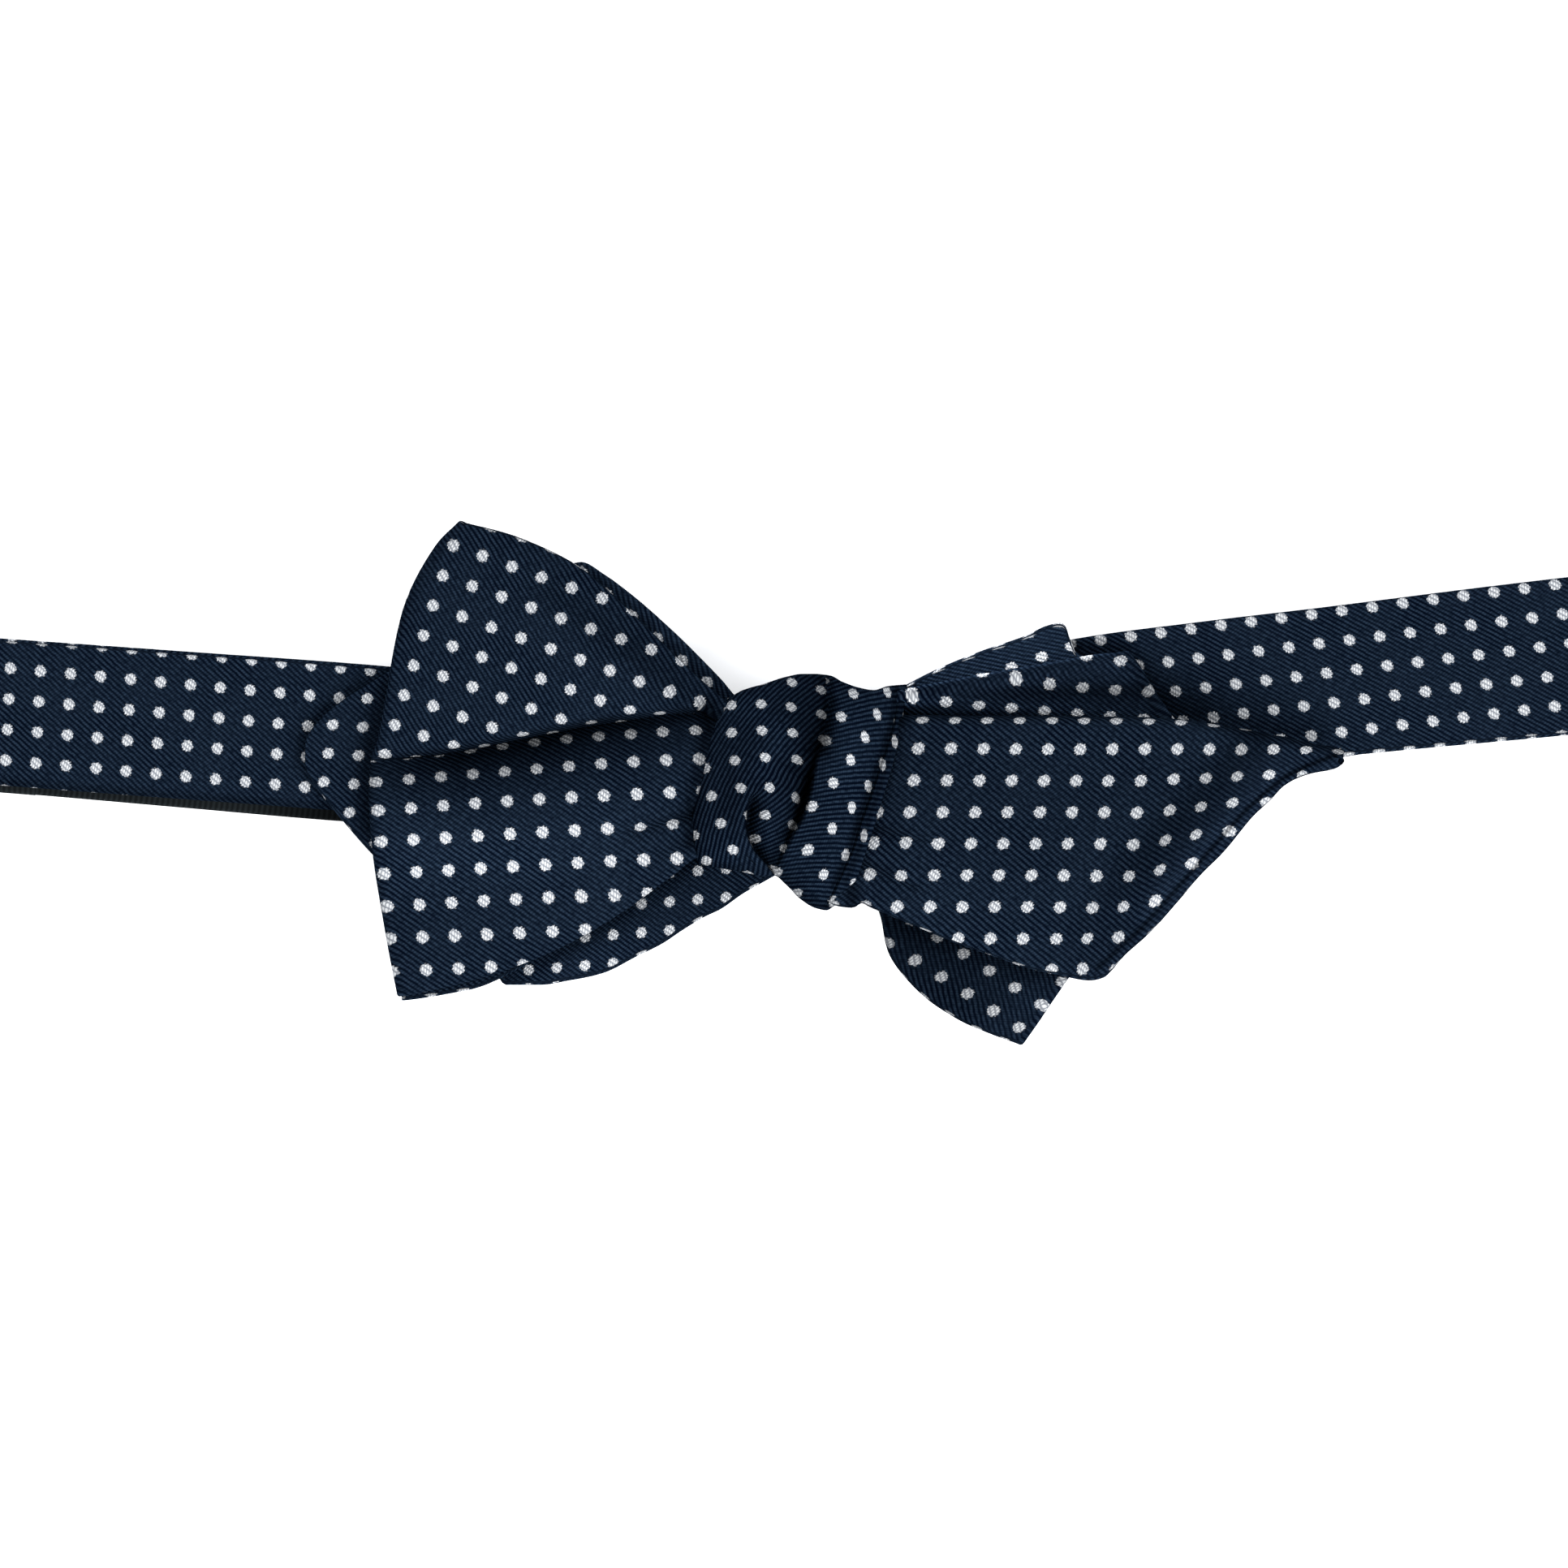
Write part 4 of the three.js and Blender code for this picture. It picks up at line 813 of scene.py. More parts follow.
# Guide lines of each leaf from the knot to the folded edge, top line first; x, y, z of each
# point in millimetres on the laid-out tie.
FRONT_LEAF = [
    [(-4, 7.6, 9.6), (-7.6, 9.9, 10.2), (-11.4, 13.2, 10.3), (-16.2, 17.9, 10.2), (-21.4, 22.9, 10.2),
     (-26.2, 26.8, 10.3), (-33, 30.0, 10.4), (-39.3, 31.8, 10.4)],
    [(-4, 7.1, 10.2), (-8.0, 9.2, 11.2), (-12.0, 11.8, 11.9), (-17.0, 16.2, 11.9), (-22.3, 20.9, 12.0),
     (-27.5, 24.6, 12.0), (-34.4, 27.4, 11.6), (-41.9, 28.9, 10.9)],
    [(-4, 6.5, 10.6), (-8.4, 8.6, 11.7), (-12.4, 10.3, 12.8), (-18.0, 13.6, 13.6), (-24.2, 16.6, 13.6),
     (-30.5, 19.1, 13.3), (-37.8, 20.6, 12.4), (-45.8, 21.2, 11.0)],
    [(-4, 6.0, 10.6), (-8.4, 8.6, 11.6), (-12.4, 9.8, 12.6), (-19.5, 9.3, 13.3), (-26.5, 8.2, 13.3),
     (-33.5, 6.8, 13.0), (-41.4, 5.4, 12.4), (-49.0, 4.7, 11.2)],
    [(-4, 5.6, 10.0), (-8.4, 8.2, 10.4), (-12.4, 8.9, 10.3), (-19.6, 7.9, 10.0), (-27.0, 6.7, 9.9),
     (-34.5, 5.2, 9.9), (-42.6, 3.7, 10.2), (-49.8, 3.1, 10.6)],
    [(-4, 5.0, 10.4), (-8.4, 7.0, 11.0), (-12.4, 6.6, 11.6), (-19.6, 5.2, 11.7), (-27.0, 3.7, 11.7),
     (-34.5, 2.0, 11.6), (-42.6, 0.6, 11.4), (-50.0, 0.2, 10.9)],
    [(-4, 1.0, 10.8), (-8.4, 1.4, 12.2), (-12.2, 0.6, 13.4), (-19.2, -1.8, 14.4), (-26.5, -4.2, 14.4),
     (-34.0, -6.0, 13.9), (-42.0, -7.2, 12.8), (-49.5, -7.4, 11.2)],
    [(-4, -3.2, 10.6), (-9.6, -5.2, 11.6), (-13.4, -7.0, 12.6), (-19.4, -10.4, 13.5),
     (-26.0, -13.3, 13.6), (-33.4, -15.8, 13.2), (-40.9, -17.4, 12.2), (-48.0, -18.0, 10.9)],
    [(-4, -6.6, 9.8), (-10.8, -8.7, 10.3), (-14.4, -11.2, 10.6), (-20.2, -15.4, 10.7),
     (-26.6, -19.2, 10.7), (-33.6, -22.2, 10.6), (-40.4, -24.3, 10.4), (-46.8, -25.7, 10.2)],
]
FRONT_BACK_TOP = [(-39.4, 31.6), (-33, 29.8), (-26, 26.4), (-20, 20.6), (-14, 13.6), (-9, 8.6), (-3, 6.4)]
FRONT_BACK_LOW = [
    (-46.8, -26.2), (-41.4, -25.4), (-36.2, -24.1), (-29, -20.2), (-20, -15), (-11.6, -8.4), (-4, -6),
]

REAR_LEAF = [
    [(4, 6.6, 8.6), (10, 9.6, 9.6), (15, 11.1, 10.4), (21, 12.3, 10.9), (27, 13.4, 11.2),
     (33, 14.4, 11.2), (38, 15.3, 10.9), (41.2, 15.7, 10.5)],
    [(4, 6.2, 9.0), (10, 9.0, 10.2), (15, 10.5, 11.1), (21, 11.5, 11.6), (27, 12.5, 11.9),
     (33, 13.4, 11.9), (38.2, 14.2, 11.4), (42.2, 14.4, 10.6)],
    [(4, 5.6, 8.8), (10, 7.8, 9.4), (15, 8.9, 9.8), (21.4, 9.6, 10.0), (27.8, 10.2, 10.1),
     (34, 10.8, 10.2), (39.8, 11.2, 10.2), (44.4, 11.2, 10.0)],
    [(4, 5.0, 8.6), (10, 6.4, 8.6), (15, 7.0, 8.7), (22, 7.4, 8.8), (29, 7.7, 8.9), (35.6, 7.9, 9.0),
     (41.8, 8.1, 9.2), (46.8, 8.0, 9.5)],
    [(4, 3.0, 8.8), (10, 3.2, 9.0), (15.4, 2.6, 9.2), (22.4, 2.0, 9.4), (29.6, 2.2, 9.5),
     (36.4, 3.0, 9.5), (43, 4.0, 9.6), (48.7, 4.8, 9.6)],
    [(4, 0.4, 9.0), (9.6, -0.8, 9.2), (14.8, -3.0, 9.6), (21.2, -5.4, 9.8), (27.6, -7.2, 9.9),
     (33.6, -8.0, 9.8), (38.6, -8.2, 9.6), (43.0, -8.0, 9.4)],
    [(4, -2.2, 9.0), (8.6, -4.6, 9.2), (13.2, -8.8, 9.5), (18.2, -13.2, 9.6), (23.2, -17.0, 9.5),
     (28.4, -19.6, 9.3), (32.4, -20.6, 9.1), (35.9, -20.9, 9.0)],
    [(4, -4.4, 8.6), (8.4, -7.6, 8.8), (11.8, -13.4, 9.0), (15.0, -19.4, 9.0), (19.2, -24.0, 8.9),
     (23.6, -26.6, 8.7), (27.6, -27.8, 8.6), (31.6, -27.6, 8.6)],
    [(4, -6.0, 8.0), (9.2, -9.4, 8.0), (12.2, -15.4, 8.0), (13.5, -20.8, 7.9), (17.2, -25.4, 7.8),
     (21.6, -28.5, 7.7), (25.6, -30.3, 7.6), (29.1, -31.6, 7.8)],
]
REAR_BACK_TOP = [
    (39.6, 15.2), (36.4, 15.4), (35.3, 17.2), (34.4, 19.3), (32.2, 19.0), (29.4, 17.7), (23.9, 15.8),
    (18, 13.3), (11, 9.6), (3, 6),
]
REAR_BACK_LOW = [
    (28.6, -30.9), (27.4, -30.4), (26.6, -30), (25.6, -29.4), (24, -28.6), (21, -27), (17, -23), (14, -17),
    (9.4, -8.6), (3, -5.4),
]


def loop_surface(leaf, back_top, back_low, back_height, side):
    """Middle surface of a loop: front leaf, round the folded edge and back behind.

    Returns the surface by station and row, its flat places and the row of each guide line.
    """
    lines = through(np.array(leaf, float).transpose(1, 0, 2), LEAF_STATIONS).transpose(1, 0, 2)
    front, line_rows = across_lines(lines, ROW_GAP, LEAST_ROWS)
    front = front.transpose(1, 0, 2)
    rows = front.shape[1]
    edge = front[-1]
    out = unit((front[-1] - front[-3])[:, :2])
    share = np.linspace(0, 1, rows)[:, None]
    back_z = np.full((rows, 1), back_height)
    radius, centre = (edge[:, 2:] - back_z) / 2, (edge[:, 2:] + back_z) / 2
    turn = []
    for n in range(1, TURN_STEPS):
        a = math.pi * n / TURN_STEPS
        xy = edge[:, :2] + out * (TURN_REACH * math.sin(a) * radius - TURN_BACK * n / TURN_STEPS)
        turn.append(np.concatenate([xy, centre + radius * math.cos(a)], axis=1))
    behind = [np.concatenate([edge[:, :2] - out * TURN_BACK, back_z], axis=1)]
    for top, low in np.stack([back_top, back_low], axis=1):
        xy = top * (1 - share) + low * share
        behind.append(np.concatenate([xy, back_z - BACK_SAG * np.sin(math.pi * share)], axis=1))
    surface = np.concatenate([front, np.array(turn), through(np.array(behind), BACK_STATIONS)], axis=0)
    x, fold = surface[..., 0], LEAF_STATIONS - 6
    walked = walk(surface[..., ::2], 0)
    flat_x = np.where(np.arange(len(x))[:, None] <= fold, x, x[fold] + side * (walked - walked[fold]))
    # Past the turned edge the repeat lies as it is seen, with no step where it turns
    seen = LEAF_STATIONS + TURN_STEPS // 2
    fading = np.exp(-np.arange(len(x) - seen) / 5)[:, None]
    flat_x[seen:] = x[seen:] + (flat_x - x)[seen] * fading
    return surface, np.stack([flat_x, surface[..., 1]], axis=2), line_rows


def make_front_loop(sizes):
    leaf = (FRONT_LEAF, FRONT_BACK_TOP, FRONT_BACK_LOW, LAYER["middle"], -1)
    surface, base, line_rows = loop_surface(*leaf)
    thick = sizes.cloth_thickness / MM
    x, y = surface[..., 0], surface[..., 1]
    front = (np.arange(len(surface)) < LEAF_STATIONS)[:, None] * smooth((x + 52) / 6)
    dent = -0.9 * near_line(x, y, [(-18.6, -5.6), (-11.0, -3.6)], 1.1)
    dent += -0.5 * near_line(x, y, [(-15, -8.6), (-10.6, -6.6)], 1.0)
    surface[..., 2] += front * (dent + 0.14 * ripple(x, y, 16, 11))
    # The repeat follows the upper face into the crease, and starts anew under it
    start, crease = line_rows[2], line_rows[4]
    n = normals_of(surface)
    upper = surface + n * np.sign(n[..., 2:]) * thick / 2
    down = walk(upper[:, start : crease + 1, 1:], 1)
    base[:LEAF_STATIONS, start + 1 : crease + 1, 1] = (y[:, start : start + 1] - down[:, 1:])[:LEAF_STATIONS]
    below = np.maximum(0, y[:, crease : crease + 1] - y[:, crease + 1 :])
    base[:, crease + 1 :, 1] += 1.9 * np.exp(-below / 3.4)
    weave = weave_of(surface.shape, "loop_upper")
    weave[:, crease:] = WEAVE_NAMES.index("loop_lower")
    weave[LEAF_STATIONS + 6 :, :crease] = WEAVE_NAMES.index("front_strip")
    return cloth("silk_loop_front", surface, thick, base, weave)


def make_rear_loop(sizes):
    surface, base, _ = loop_surface(REAR_LEAF, REAR_BACK_TOP, REAR_BACK_LOW, LAYER["rear"], 1)
    front = (np.arange(len(surface)) < LEAF_STATIONS)[:, None]
    surface[..., 2] += front * 0.1 * ripple(surface[..., 0], surface[..., 1], 14, 21)
    half = surface.shape[1] // 2
    weave = weave_of(surface.shape, "rear_dark")
    weave[:, half:] = WEAVE_NAMES.index("rear_lobe")
    weave[LEAF_STATIONS + 6 :, :half] = WEAVE_NAMES.index("rear_corner")
    return cloth("silk_loop_rear", surface, sizes.cloth_thickness / MM, base, weave)


# Tails

# Rear tail: x, top and bottom of the diamond point
REAR_TAIL = [
    (-59.2, 3.9, 3.1), (-58.9, 5.2, 1.7), (-58.2, 6.4, 0.6), (-54, 10.2, -4.6), (-51, 12.0, -8.0),
    (-46, 15.2, -12.8), (-40, 18.8, -18.8), (-35.4, 21.5, -23.2), (-34.4, 22.1, -24.3), (-30, 24.4, -24.3),
    (-26.2, 26.7, -23.7), (-25.0, 26.9, -23.5), (-22.2, 25.4, -22.8), (-18.2, 22.4, -20.8),
    (-15, 19.6, -19.2), (-12.6, 17.4, -17.6), (-9.8, 14.6, -15.9), (-7.9, 12.6, -15), (-5, 9.5, -13),
    (-2, 8.4, -11.3), (2, 8, -9.0),
]


def make_rear_tail(sizes):
    x = np.concatenate([np.linspace(-59.1, -56, 14), np.linspace(-55.6, 1.8, 136)])
    top, low = (look_up(REAR_TAIL, x, column)[:, None] for column in (1, 2))
    share = np.linspace(0, 1, 70)[None, :]
    y = top * (1 - share) + low * share
    grid_x = np.broadcast_to(x[:, None], y.shape)
    z = band_height(grid_x) + LAYER["rear"] - BAND_SEAT + 0.12 * ripple(grid_x, y, 18, 31)
    z += 0.7 * smooth((grid_x + 34) / 20) * smooth((y - 12) / 8)
    middle = np.stack([grid_x, y, z], axis=2)
    weave = weave_of(middle.shape, "tail_tip")
    weave[x[:-1] > -40] = WEAVE_NAMES.index("tail_low")
    weave[x[:-1] > -27, :12] = WEAVE_NAMES.index("tail_top")
    return cloth("silk_tail_rear", middle, sizes.cloth_thickness / MM, middle[..., :2], weave)


# Front tail: x, the ridge on top, the bottom edge, and the height of the ridge and the bottom
FRONT_TAIL = [
    (3, 8.3, -11.5, 11.4, 10.6), (6.6, 8.4, -14.6, 11.6, 10.8), (8.4, 8.4, -14.8, 11.8, 10.9),
    (9.6, 8.5, -14.2, 11.9, 10.9), (10.4, 8.5, -14.6, 11.9, 10.9), (16.6, 8.5, -17.2, 13.3, 11.4),
    (21.1, 8.4, -19.1, 13.6, 11.4), (25.7, 8.4, -20.7, 13.6, 11.4), (30.7, 8.4, -22.4, 13.6, 11.4),
    (34.5, 8.4, -23.2, 13.5, 11.4), (37.6, 8.3, -23.7, 13.5, 11.5), (39.2, 8.3, -23.4, 13.4, 11.6),
    (42, 8.3, -20.5, 13.4, 11.8), (44.9, 8.2, -17.8, 13.3, 11.9), (48.2, 8.0, -14.1, 13.1, 12.0),
    (51.1, 7.7, -10.7, 13.0, 12.1), (53.6, 7.2, -8.2, 12.9, 12.1), (57.4, 6.6, -3.6, 12.8, 12.1),
    (59.5, 6.1, -1.6, 12.7, 12.1), (61.1, 5.9, 0.1, 12.7, 12.1), (62.8, 5.5, 1.1, 12.6, 12.1),
    (64.9, 5.0, 1.8, 12.5, 12.1), (67.4, 4.6, 2.3, 12.4, 12.1), (68.6, 4.2, 3.2, 12.3, 12.1),
]


# Rows of the front tail's leaf, of the turn over its ridge and of the hidden half; the radius of
# the turn, how much the repeat is taken in there, and how fast its rows spread towards the point
TAIL_ROWS = (84, 14, 40)
RIDGE_RADIUS = 0.95
RIDGE_TAKE_IN = 2.3
ROW_SPREAD = 0.0146


def make_front_tail(sizes):
    x = np.concatenate([np.linspace(3, 64, 150), np.linspace(64.3, 68.6, 16)])
    ridge, low, ridge_z, low_z = (look_up(FRONT_TAIL, x, column)[:, None] for column in (1, 2, 3, 4))
    front, turn, under = TAIL_ROWS
    radius = RIDGE_RADIUS
    thick = sizes.cloth_thickness / MM
    ridge_y = ridge - radius * 0.8 - thick / 2
    share = np.linspace(0, 1, front)[None, :]
    height = np.clip((ridge - low) / 24, 0, 1)
    y_front = low * (1 - share) + ridge_y * share
    z_front = low_z * (1 - share) + ridge_z * share + 0.9 * np.sin(math.pi * share) ** 0.8 * height
    a = np.linspace(0, math.pi, turn + 2)[None, 1:-1]
    y_turn = ridge_y + radius * 0.8 * np.sin(a)
    z_turn = ridge_z - radius + radius * np.cos(a)
    back = np.linspace(0, 0.82, under)[None, :]
    y_under = ridge_y * (1 - back) + (low + 1.0) * back
    z_under = (ridge_z - 2 * radius) * (1 - back) + (low_z - 1.4) * back
    y = np.concatenate([y_front, y_turn, y_under], axis=1)
    z = np.concatenate([z_front, z_turn, z_under], axis=1)
    grid_x = np.broadcast_to(x[:, None], y.shape)
    # A dent and a swell run down to the point, and the cloth puckers beside the knot
    on_front = (np.arange(y.shape[1]) < front)[None, :]
    off_ridge = on_front * (1 - smooth((y - ridge_y + 4) / 4))
    dent = near_line(grid_x, y, [(36.5, -20), (43, -12.5), (50, -4.5), (57, 2.5), (62, 6.5)], 3.4)
    swell = near_line(grid_x, y, [(42, -20), (50, -11), (57, -3.2), (62, 1.6)], 1.6)
    z = z + off_ridge * (-1.25 * dent * height + 0.5 * swell)
    z = z + off_ridge * 0.13 * ripple(grid_x, y, 17, 41)
    pucker = near_line(grid_x, y, [(9, -5), (17, -6.5)], 1.1)
    pucker += near_line(grid_x, y, [(9.5, -9.5), (16, -12.5)], 1.0)
    middle = np.stack([grid_x, y, z - on_front * 0.45 * pucker], axis=2)
    # Round the ridge the repeat is taken in, and towards the point its rows spread
    step = np.hypot(np.diff(y, axis=1), np.diff(middle[..., 2], axis=1))
    step[:, front - 1 : front + turn] *= RIDGE_TAKE_IN
    walked = np.insert(np.cumsum(step, axis=1), 0, 0, axis=1)
    start = front - 8
    turned = y[:, start : start + 1] + walked - walked[:, start : start + 1]
    flat_y = np.where(np.arange(y.shape[1])[None, :] <= start, y, turned)
    flat_y = flat_y - ROW_SPREAD * np.clip(4.3 - y, 0, None) * np.clip(grid_x - 43.4, 0, None)
    base = np.stack([grid_x, flat_y], axis=2)
    return cloth("silk_tail_front", middle, thick, base, weave_of(middle.shape, "tail_front"))


# Knot

# Left and right rims of the knot from top to bottom, and its top and bottom from left to right
KNOT_LEFT = [
    (-7.3, 10.4), (-8.4, 8.9), (-9.2, 7.2), (-9.8, 4.8), (-10.4, 1.9), (-11.0, -1.2), (-11.3, -4.3),
    (-11.0, -7.1), (-10.6, -9.6),
]
KNOT_RIGHT = [
    (15.1, 12.4), (14.7, 10.0), (14.1, 7.7), (13.3, 4.5), (12.3, 1.7), (11.3, -1.4), (10.2, -4.5),
    (9.1, -8.0), (7.4, -12.0),
]
KNOT_TOP = [
    (0, 10.3), (0.1, 11.6), (0.22, 12.4), (0.33, 13.2), (0.43, 13.6), (0.5, 13.6), (0.58, 13.4),
    (0.65, 12.6), (0.74, 11.9), (0.82, 11.6), (0.9, 12.1), (1, 12.3),
]
KNOT_BOTTOM = [
    (0, -10.0), (0.1, -10.3), (0.22, -10.6), (0.33, -11.0), (0.44, -11.4), (0.52, -11.3), (0.6, -12.4),
    (0.7, -14.2), (0.8, -15.3), (0.88, -15.6), (0.94, -15.0), (1, -14.6),
]
# Height of the knot's front over the table: share of the way across, and millimetres
KNOT_FRONT = [
    (0, 12.8), (0.04, 14.4), (0.12, 16.2), (0.26, 17.6), (0.42, 18.0), (0.52, 17.5), (0.62, 17.0),
    (0.74, 17.5), (0.85, 17.1), (0.93, 16.4), (1, 15.2),
]


# Rows and stations of the knot, heights of its widest place and of its back, and the part of the
# way round that is seen from the front
KNOT_ROWS, KNOT_STATIONS = 150, 300
KNOT_WIDEST, KNOT_BACK = 7.6, 1.95
KNOT_SEEN = (0.03, 0.47)


def knot_folds(x, y):
    """How far the folds sink or lift the knot's front."""
    lip, along = beside(x, y, LIP)
    depth = np.interp(along, [0, 0.2, 0.7, 1], [0, 2.8, 2.4, 0.4])
    inside = smooth(lip / 0.22)
    z = -depth * inside * np.exp(-np.maximum(lip, 0) / 2.0)
    z += 0.3 * depth * (1 - inside) * np.exp(-(((lip + 0.9) / 0.9) ** 2))
    strip, along = beside(x, y, STRIP_LEFT)
    depth = np.interp(along, [0, 0.18, 0.35, 0.5, 0.75, 1], [0.4, 3.4, 5.4, 4.6, 2.2, 0.5])
    reach = np.interp(along, [0, 0.3, 0.6, 1], [0.6, 1.5, 1.2, 0.7])
    outside = smooth(-strip / 0.22)
    z -= depth * outside * np.exp(-np.maximum(-strip, 0) / reach)
    z -= 0.5 * (1 - outside) * np.exp(-np.maximum(strip, 0) / 0.5) * smooth(along * 4)
    z -= 2.4 * near_line(x, y, VALLEY, 0.9)
    edge, _ = beside(x, y, STRIP_RIGHT)
    z -= 1.1 * smooth(edge / 0.2) + 0.8 * np.exp(-(((edge - 0.15) / 0.3) ** 2))
    z -= 0.5 * near_line(x, y, [(-8.6, 7.0), (-7.2, 1.6), (-8.2, -3.4)], 1.1)
    z += 0.5 * near_line(x, y, [(-2.6, 10.0), (0.4, 7.4), (1.2, 5.0)], 1.6)
    z -= 0.4 * near_line(x, y, [(-0.6, 3.4), (2.2, 1.4)], 0.7)
    return z


def on_belly(x, y):
    """Share of the belly's own repeat: all of it under the lip, none on the wrap."""
    lip, along = beside(x, y, [(-3.2, 3.0), *LIP])
    width = np.interp(along, [0, 0.28, 0.36, 1], [2.4, 1.2, 0.1, 0.1])
    return smooth(lip / width + 0.5) * smooth((1.9 - 0.45 * x - y) / 2.2)


def knot_weave(x, y):
    """Part of the repeat at each face of the knot."""
    strip, _ = beside(x, y, [*VALLEY[:-1], *STRIP_LEFT])
    return np.where(strip > 0, WEAVE_NAMES.index("knot_strip"), WEAVE_NAMES.index("knot_front"))


def make_knot(sizes):
    across, around = KNOT_ROWS, KNOT_STATIONS
    w = np.linspace(0, 1, across)[None, :]
    angle = np.linspace(0, math.tau, around, endpoint=False)[:, None]
    cosine, sine = (np.sign(v) * np.abs(v) ** 0.8 for v in (np.cos(angle), np.sin(angle)))
    top, low, front = (look_up(table, w) for table in (KNOT_TOP, KNOT_BOTTOM, KNOT_FRONT))
    y = low + (top - low) * (1 + cosine) / 2
    up = (1 - cosine).ravel() / 2
    left, right = (through(rim, up * (len(rim) - 1))[:, None, 0] for rim in (KNOT_LEFT, KNOT_RIGHT))
    x = left * (1 - w) + right * w
    z = KNOT_WIDEST + np.where(sine > 0, front - KNOT_WIDEST, KNOT_WIDEST - KNOT_BACK) * sine
    x, y, z = (np.broadcast_to(v, (around, across)).copy() for v in (x, y, z))
    z += smooth((sine - 0.1) / 0.5) * (knot_folds(x, y) + 0.1 * ripple(x, y, 9, 51))
    middle = np.stack([x, y, z], axis=2)
    closed = np.concatenate([middle, middle[:1]], axis=0)
    # Seen from the front the repeat lies as measured; round the back it goes on by the arc
    walked = walk(closed[..., 1:], 0)
    first, last = (round(share * around) for share in KNOT_SEEN)
    flat_y = closed[..., 1].copy()
    flat_y[last:] = closed[last, :, 1] - (walked[last:] - walked[last])
    flat_y[:first] = closed[first, :, 1] + (walked[first] - walked[:first])
    base = np.stack([closed[..., 0], flat_y], axis=2)
    mid_x, mid_y = ((v[1:, 1:] + v[:-1, :-1]) / 2 for v in (closed[..., 0], flat_y))
    return ring_cloth("silk_knot", middle, sizes.cloth_thickness / MM, base, knot_weave(mid_x, mid_y))


# Sizes and looks

def length(name, description, default, low, high):
    return FloatProperty(
        name=name, description=description, default=default, min=low, max=high, unit="LENGTH"
    )


def shade(name, description, default):
    return FloatVectorProperty(
        name=name, description=description, subtype="COLOR", default=default, min=0, max=1
    )


class BowTieSizes(PropertyGroup):
    cloth_thickness: length("Cloth", "Thickness of the lined silk of loops and tails", 0.0012, 0.0006, 0.003)
    band_thickness: length("Band", "Thickness of the folded neckband", 0.0018, 0.001, 0.004)


class BowTieLooks(PropertyGroup):
    silk_rib: shade("Silk rib", "Colour of the raised twill ribs", (0.0084, 0.0150, 0.0262))
    silk_gap: shade("Silk gap", "Colour between the ribs", (0.0003, 0.0010, 0.0033))
    silk_gloss: FloatProperty(
        name="Silk gloss", description="Mirror share of the silk, none for flat soft light",
        default=0.0, min=0, max=1,
    )
    dot_light: shade("Dot", "Colour of the woven dots", (0.3700, 0.3811, 0.3885))
    dot_shade: shade("Dot shade", "Colour between the threads of a dot", (0.1258, 0.1332, 0.1480))
    dot_size: length("Dot size", "Diameter of a dot", 0.00142, 0.0005, 0.004)
    tape_colour: shade("Tape", "Colour of the plain tape", (0.0085, 0.0105, 0.0115))
    floor_colour: shade("Table", "Colour of the table", (0.92, 0.92, 0.92))


def add_cloth(context, *pieces, held="with_painted_shading", gathered=False):
    for make, node in pieces:
        obj = make(context.scene.bow_tie_sizes)
        obj.data.materials.append(silk(context, gathered))
        finish_sheet(obj, node)
    return {"FINISHED"}


class BOWTIE_OT_bands(Operator):
    """Silk neckband, both halves"""

    bl_idname = "bowtie.bands"
    bl_label = "Neckband"

    def execute(self, context):
        return add_cloth(context, (make_left_band, "neckband_left"), (make_right_band, "neckband_right"))


class BOWTIE_OT_tape(Operator):
    """Plain tape of the neck loop and its clasp"""

    bl_idname = "bowtie.tape"
    bl_label = "Tape and Clasp"

    def execute(self, context):
        obj = make_tape(context.scene.bow_tie_sizes)
        obj.data.materials.append(tape_material(context.scene.bow_tie_looks))
        finish_sheet(obj, "adjuster_tape")
        clasp = bpy.data.objects["clasp"]
        clasp.data.materials.clear()
        clasp.data.materials.append(clasp_material())
        return {"FINISHED"}


class BOWTIE_OT_loops(Operator):
    """Front and rear loop"""

    bl_idname = "bowtie.loops"
    bl_label = "Loops"

    def execute(self, context):
        return add_cloth(context, (make_front_loop, "front_loop"), (make_rear_loop, "rear_loop"))


class BOWTIE_OT_tails(Operator):
    """Front and rear diamond points"""

    bl_idname = "bowtie.tails"
    bl_label = "Tails"

    def execute(self, context):
        return add_cloth(context, (make_front_tail, "front_tail"), (make_rear_tail, "rear_tail"))


class BOWTIE_OT_knot(Operator):
    """Knot in the middle of the bow"""

    bl_idname = "bowtie.knot"
    bl_label = "Knot"

    def execute(self, context):
        return add_cloth(context, (make_knot, "knot"), held="gathered", gathered=True)


# Soft lights: name, place and size in metres, and power in watts
LIGHTS = [
    ("key_softbox", (0.5, -0.9, 0.85), (0.9, 0.9), 34),
    ("left_softbox", (-1.0, 0.2, 0.8), (0.8, 0.9), 9),
    ("top_fill", (-0.2, 1.1, 0.8), (0.9, 0.7), 10),
]
SKY_COLOUR = (0.95, 0.97, 1.0)
SKY_STRENGTH = 1.5
TABLE_HALF = 3.0
# Width of the picture and the height over the table that it is measured at, in metres, and the
# camera's lens and sensor in millimetres
PICTURE_WIDTH = 0.1932
PICTURE_HEIGHT = 0.0095
LENS, SENSOR = 200, 36


def area_light(name, place, size, power):
    data = bpy.data.lights.new(name, "AREA")
    data.shape = "RECTANGLE"
    data.size, data.size_y = size
    data.energy = power
    obj = bpy.data.objects.new(name, data)
    bpy.context.scene.collection.objects.link(obj)
    obj.location = place
    obj.rotation_euler = (-Vector(place)).to_track_quat("-Z", "Y").to_euler()


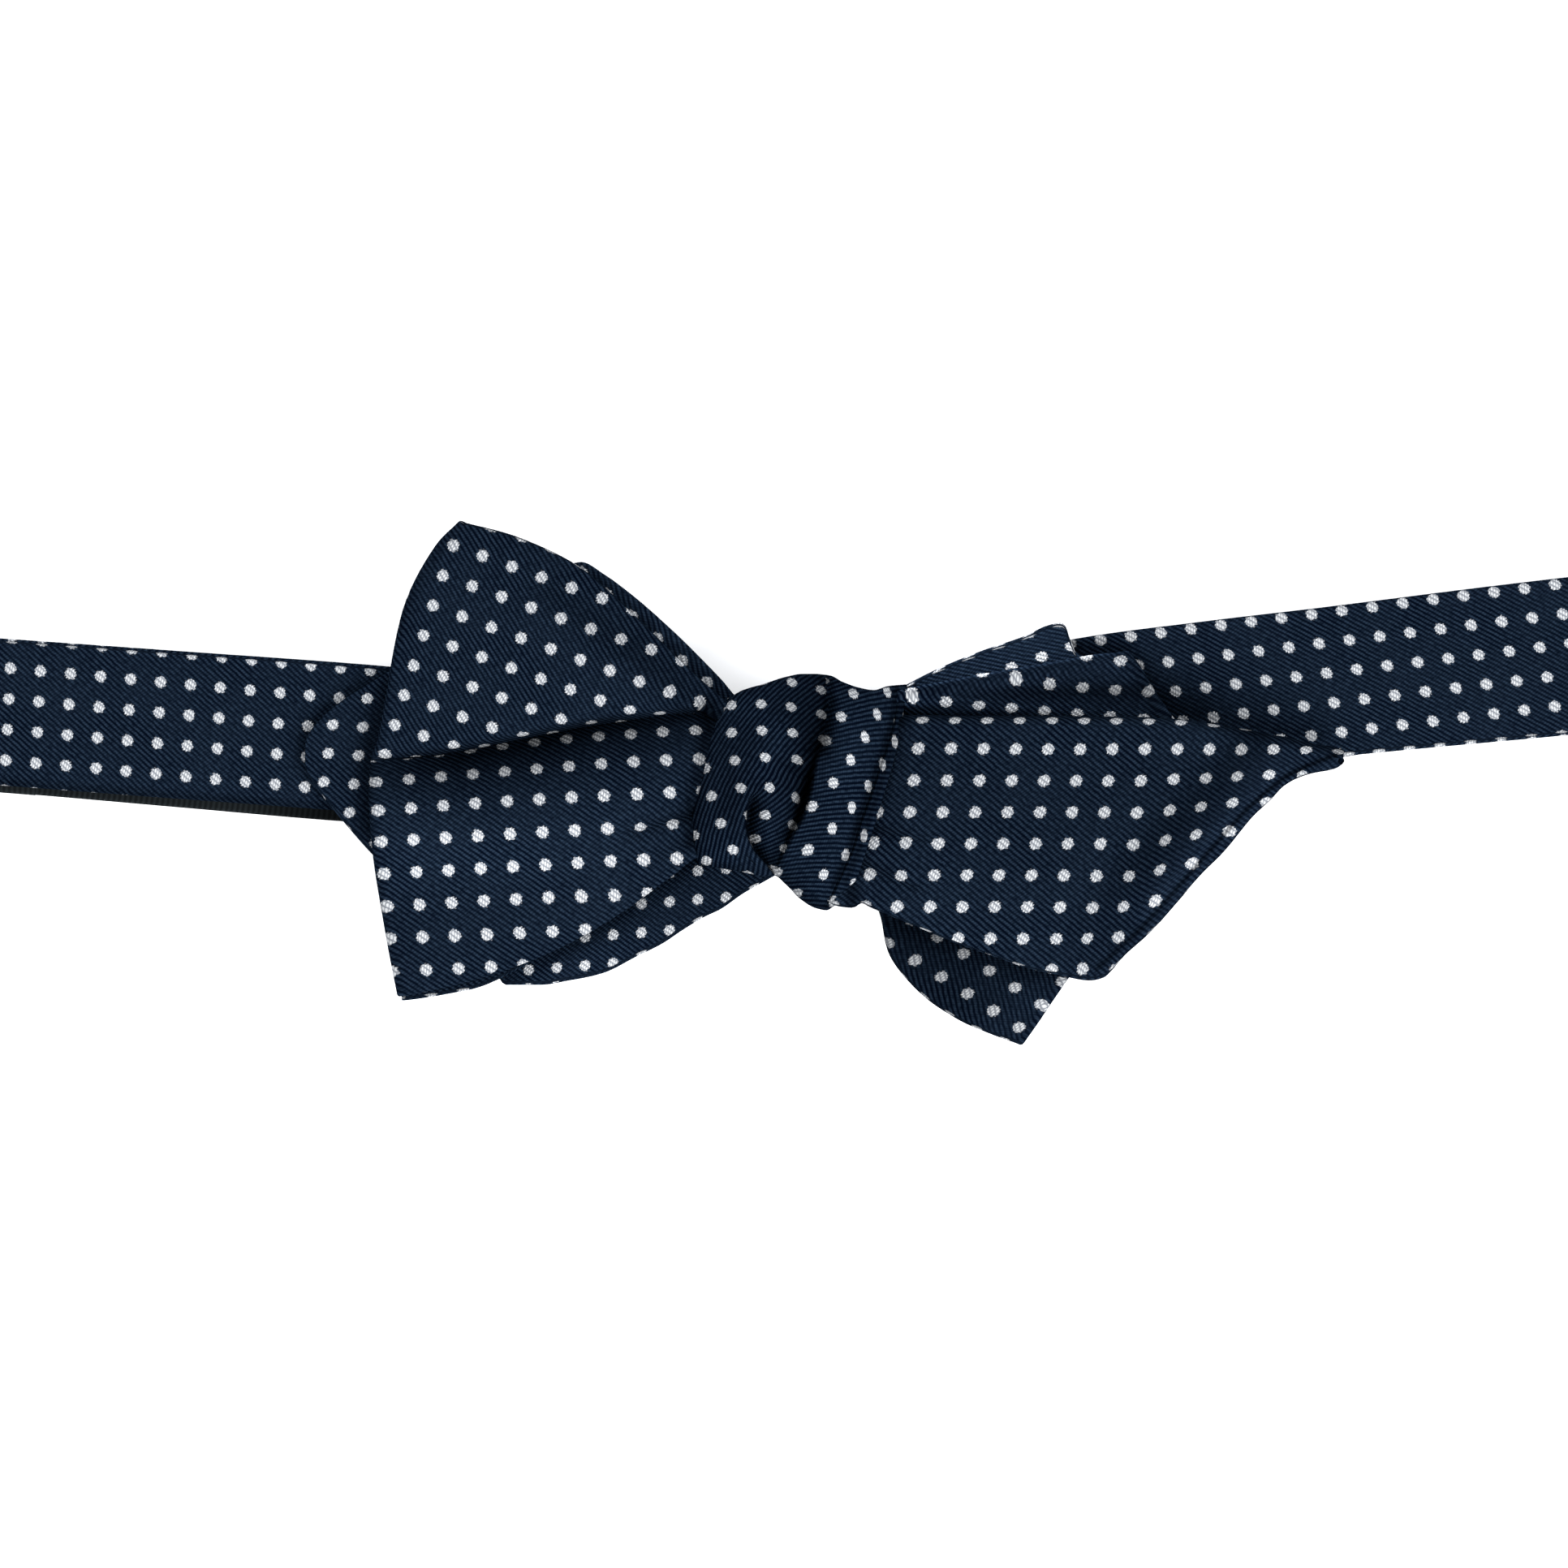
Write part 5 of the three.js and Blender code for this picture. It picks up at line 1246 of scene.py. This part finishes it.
class BOWTIE_OT_stage(Operator):
    """Table, lights and camera"""

    bl_idname = "bowtie.stage"
    bl_label = "Stage"

    def execute(self, context):
        scene = context.scene
        mesh = bpy.data.meshes.new("table")
        corners = [(x * TABLE_HALF, y * TABLE_HALF, 0) for x, y in ((-1, -1), (1, -1), (1, 1), (-1, 1))]
        mesh.from_pydata(corners, [], [(0, 1, 2, 3)])
        table = bpy.data.objects.new("table", mesh)
        scene.collection.objects.link(table)
        s = Shader("pale_table")
        s.put(s.body.inputs["Base Color"], colour(scene.bow_tie_looks.floor_colour))
        s.put(s.body.inputs["Roughness"], 0.85)
        mesh.materials.append(s.material)
        for light in LIGHTS:
            area_light(*light)
        scene.view_settings.view_transform = "Standard"
        world = bpy.data.worlds.new("studio")
        scene.world = world
        world.use_nodes = True
        sky = world.node_tree.nodes["Background"].inputs
        sky[0].default_value, sky[1].default_value = colour(SKY_COLOUR), SKY_STRENGTH
        data = bpy.data.cameras.new("camera")
        data.lens, data.sensor_width, data.clip_end = LENS, SENSOR, 20
        camera = bpy.data.objects.new("camera", data)
        scene.collection.objects.link(camera)
        camera.location = (MIDDLE[0] * MM, MIDDLE[1] * MM, PICTURE_WIDTH * LENS / SENSOR + PICTURE_HEIGHT)
        camera.rotation_euler = (0, 0, 0)
        scene.camera = camera
        return {"FINISHED"}


OPERATORS = (
    BOWTIE_OT_bands, BOWTIE_OT_tape, BOWTIE_OT_loops, BOWTIE_OT_tails, BOWTIE_OT_knot, BOWTIE_OT_stage,
)


class BOWTIE_PT_panel(Panel):
    bl_label = "Bow Tie"
    bl_idname = "BOWTIE_PT_panel"
    bl_space_type = "VIEW_3D"
    bl_region_type = "UI"
    bl_category = "Bow Tie"

    def draw(self, context):
        column = self.layout.column()
        for operator in OPERATORS:
            column.operator(operator.bl_idname)
        for group in (context.scene.bow_tie_sizes, context.scene.bow_tie_looks):
            for name in group.bl_rna.properties.keys():
                if name not in ("rna_type", "name"):
                    column.prop(group, name)


CLASSES = (BowTieSizes, BowTieLooks, *OPERATORS, BOWTIE_PT_panel)


def register():
    for c in CLASSES:
        bpy.utils.register_class(c)
    bpy.types.Scene.bow_tie_sizes = PointerProperty(type=BowTieSizes)
    bpy.types.Scene.bow_tie_looks = PointerProperty(type=BowTieLooks)


def unregister():
    del bpy.types.Scene.bow_tie_looks
    del bpy.types.Scene.bow_tie_sizes
    for c in reversed(CLASSES):
        bpy.utils.unregister_class(c)


def main():
    register()
    bpy.ops.bowtie.bands()
    bpy.ops.bowtie.tape()
    bpy.ops.bowtie.loops()
    bpy.ops.bowtie.tails()
    bpy.ops.bowtie.knot()
    bpy.ops.bowtie.stage()


if __name__ == "__main__":
    main()
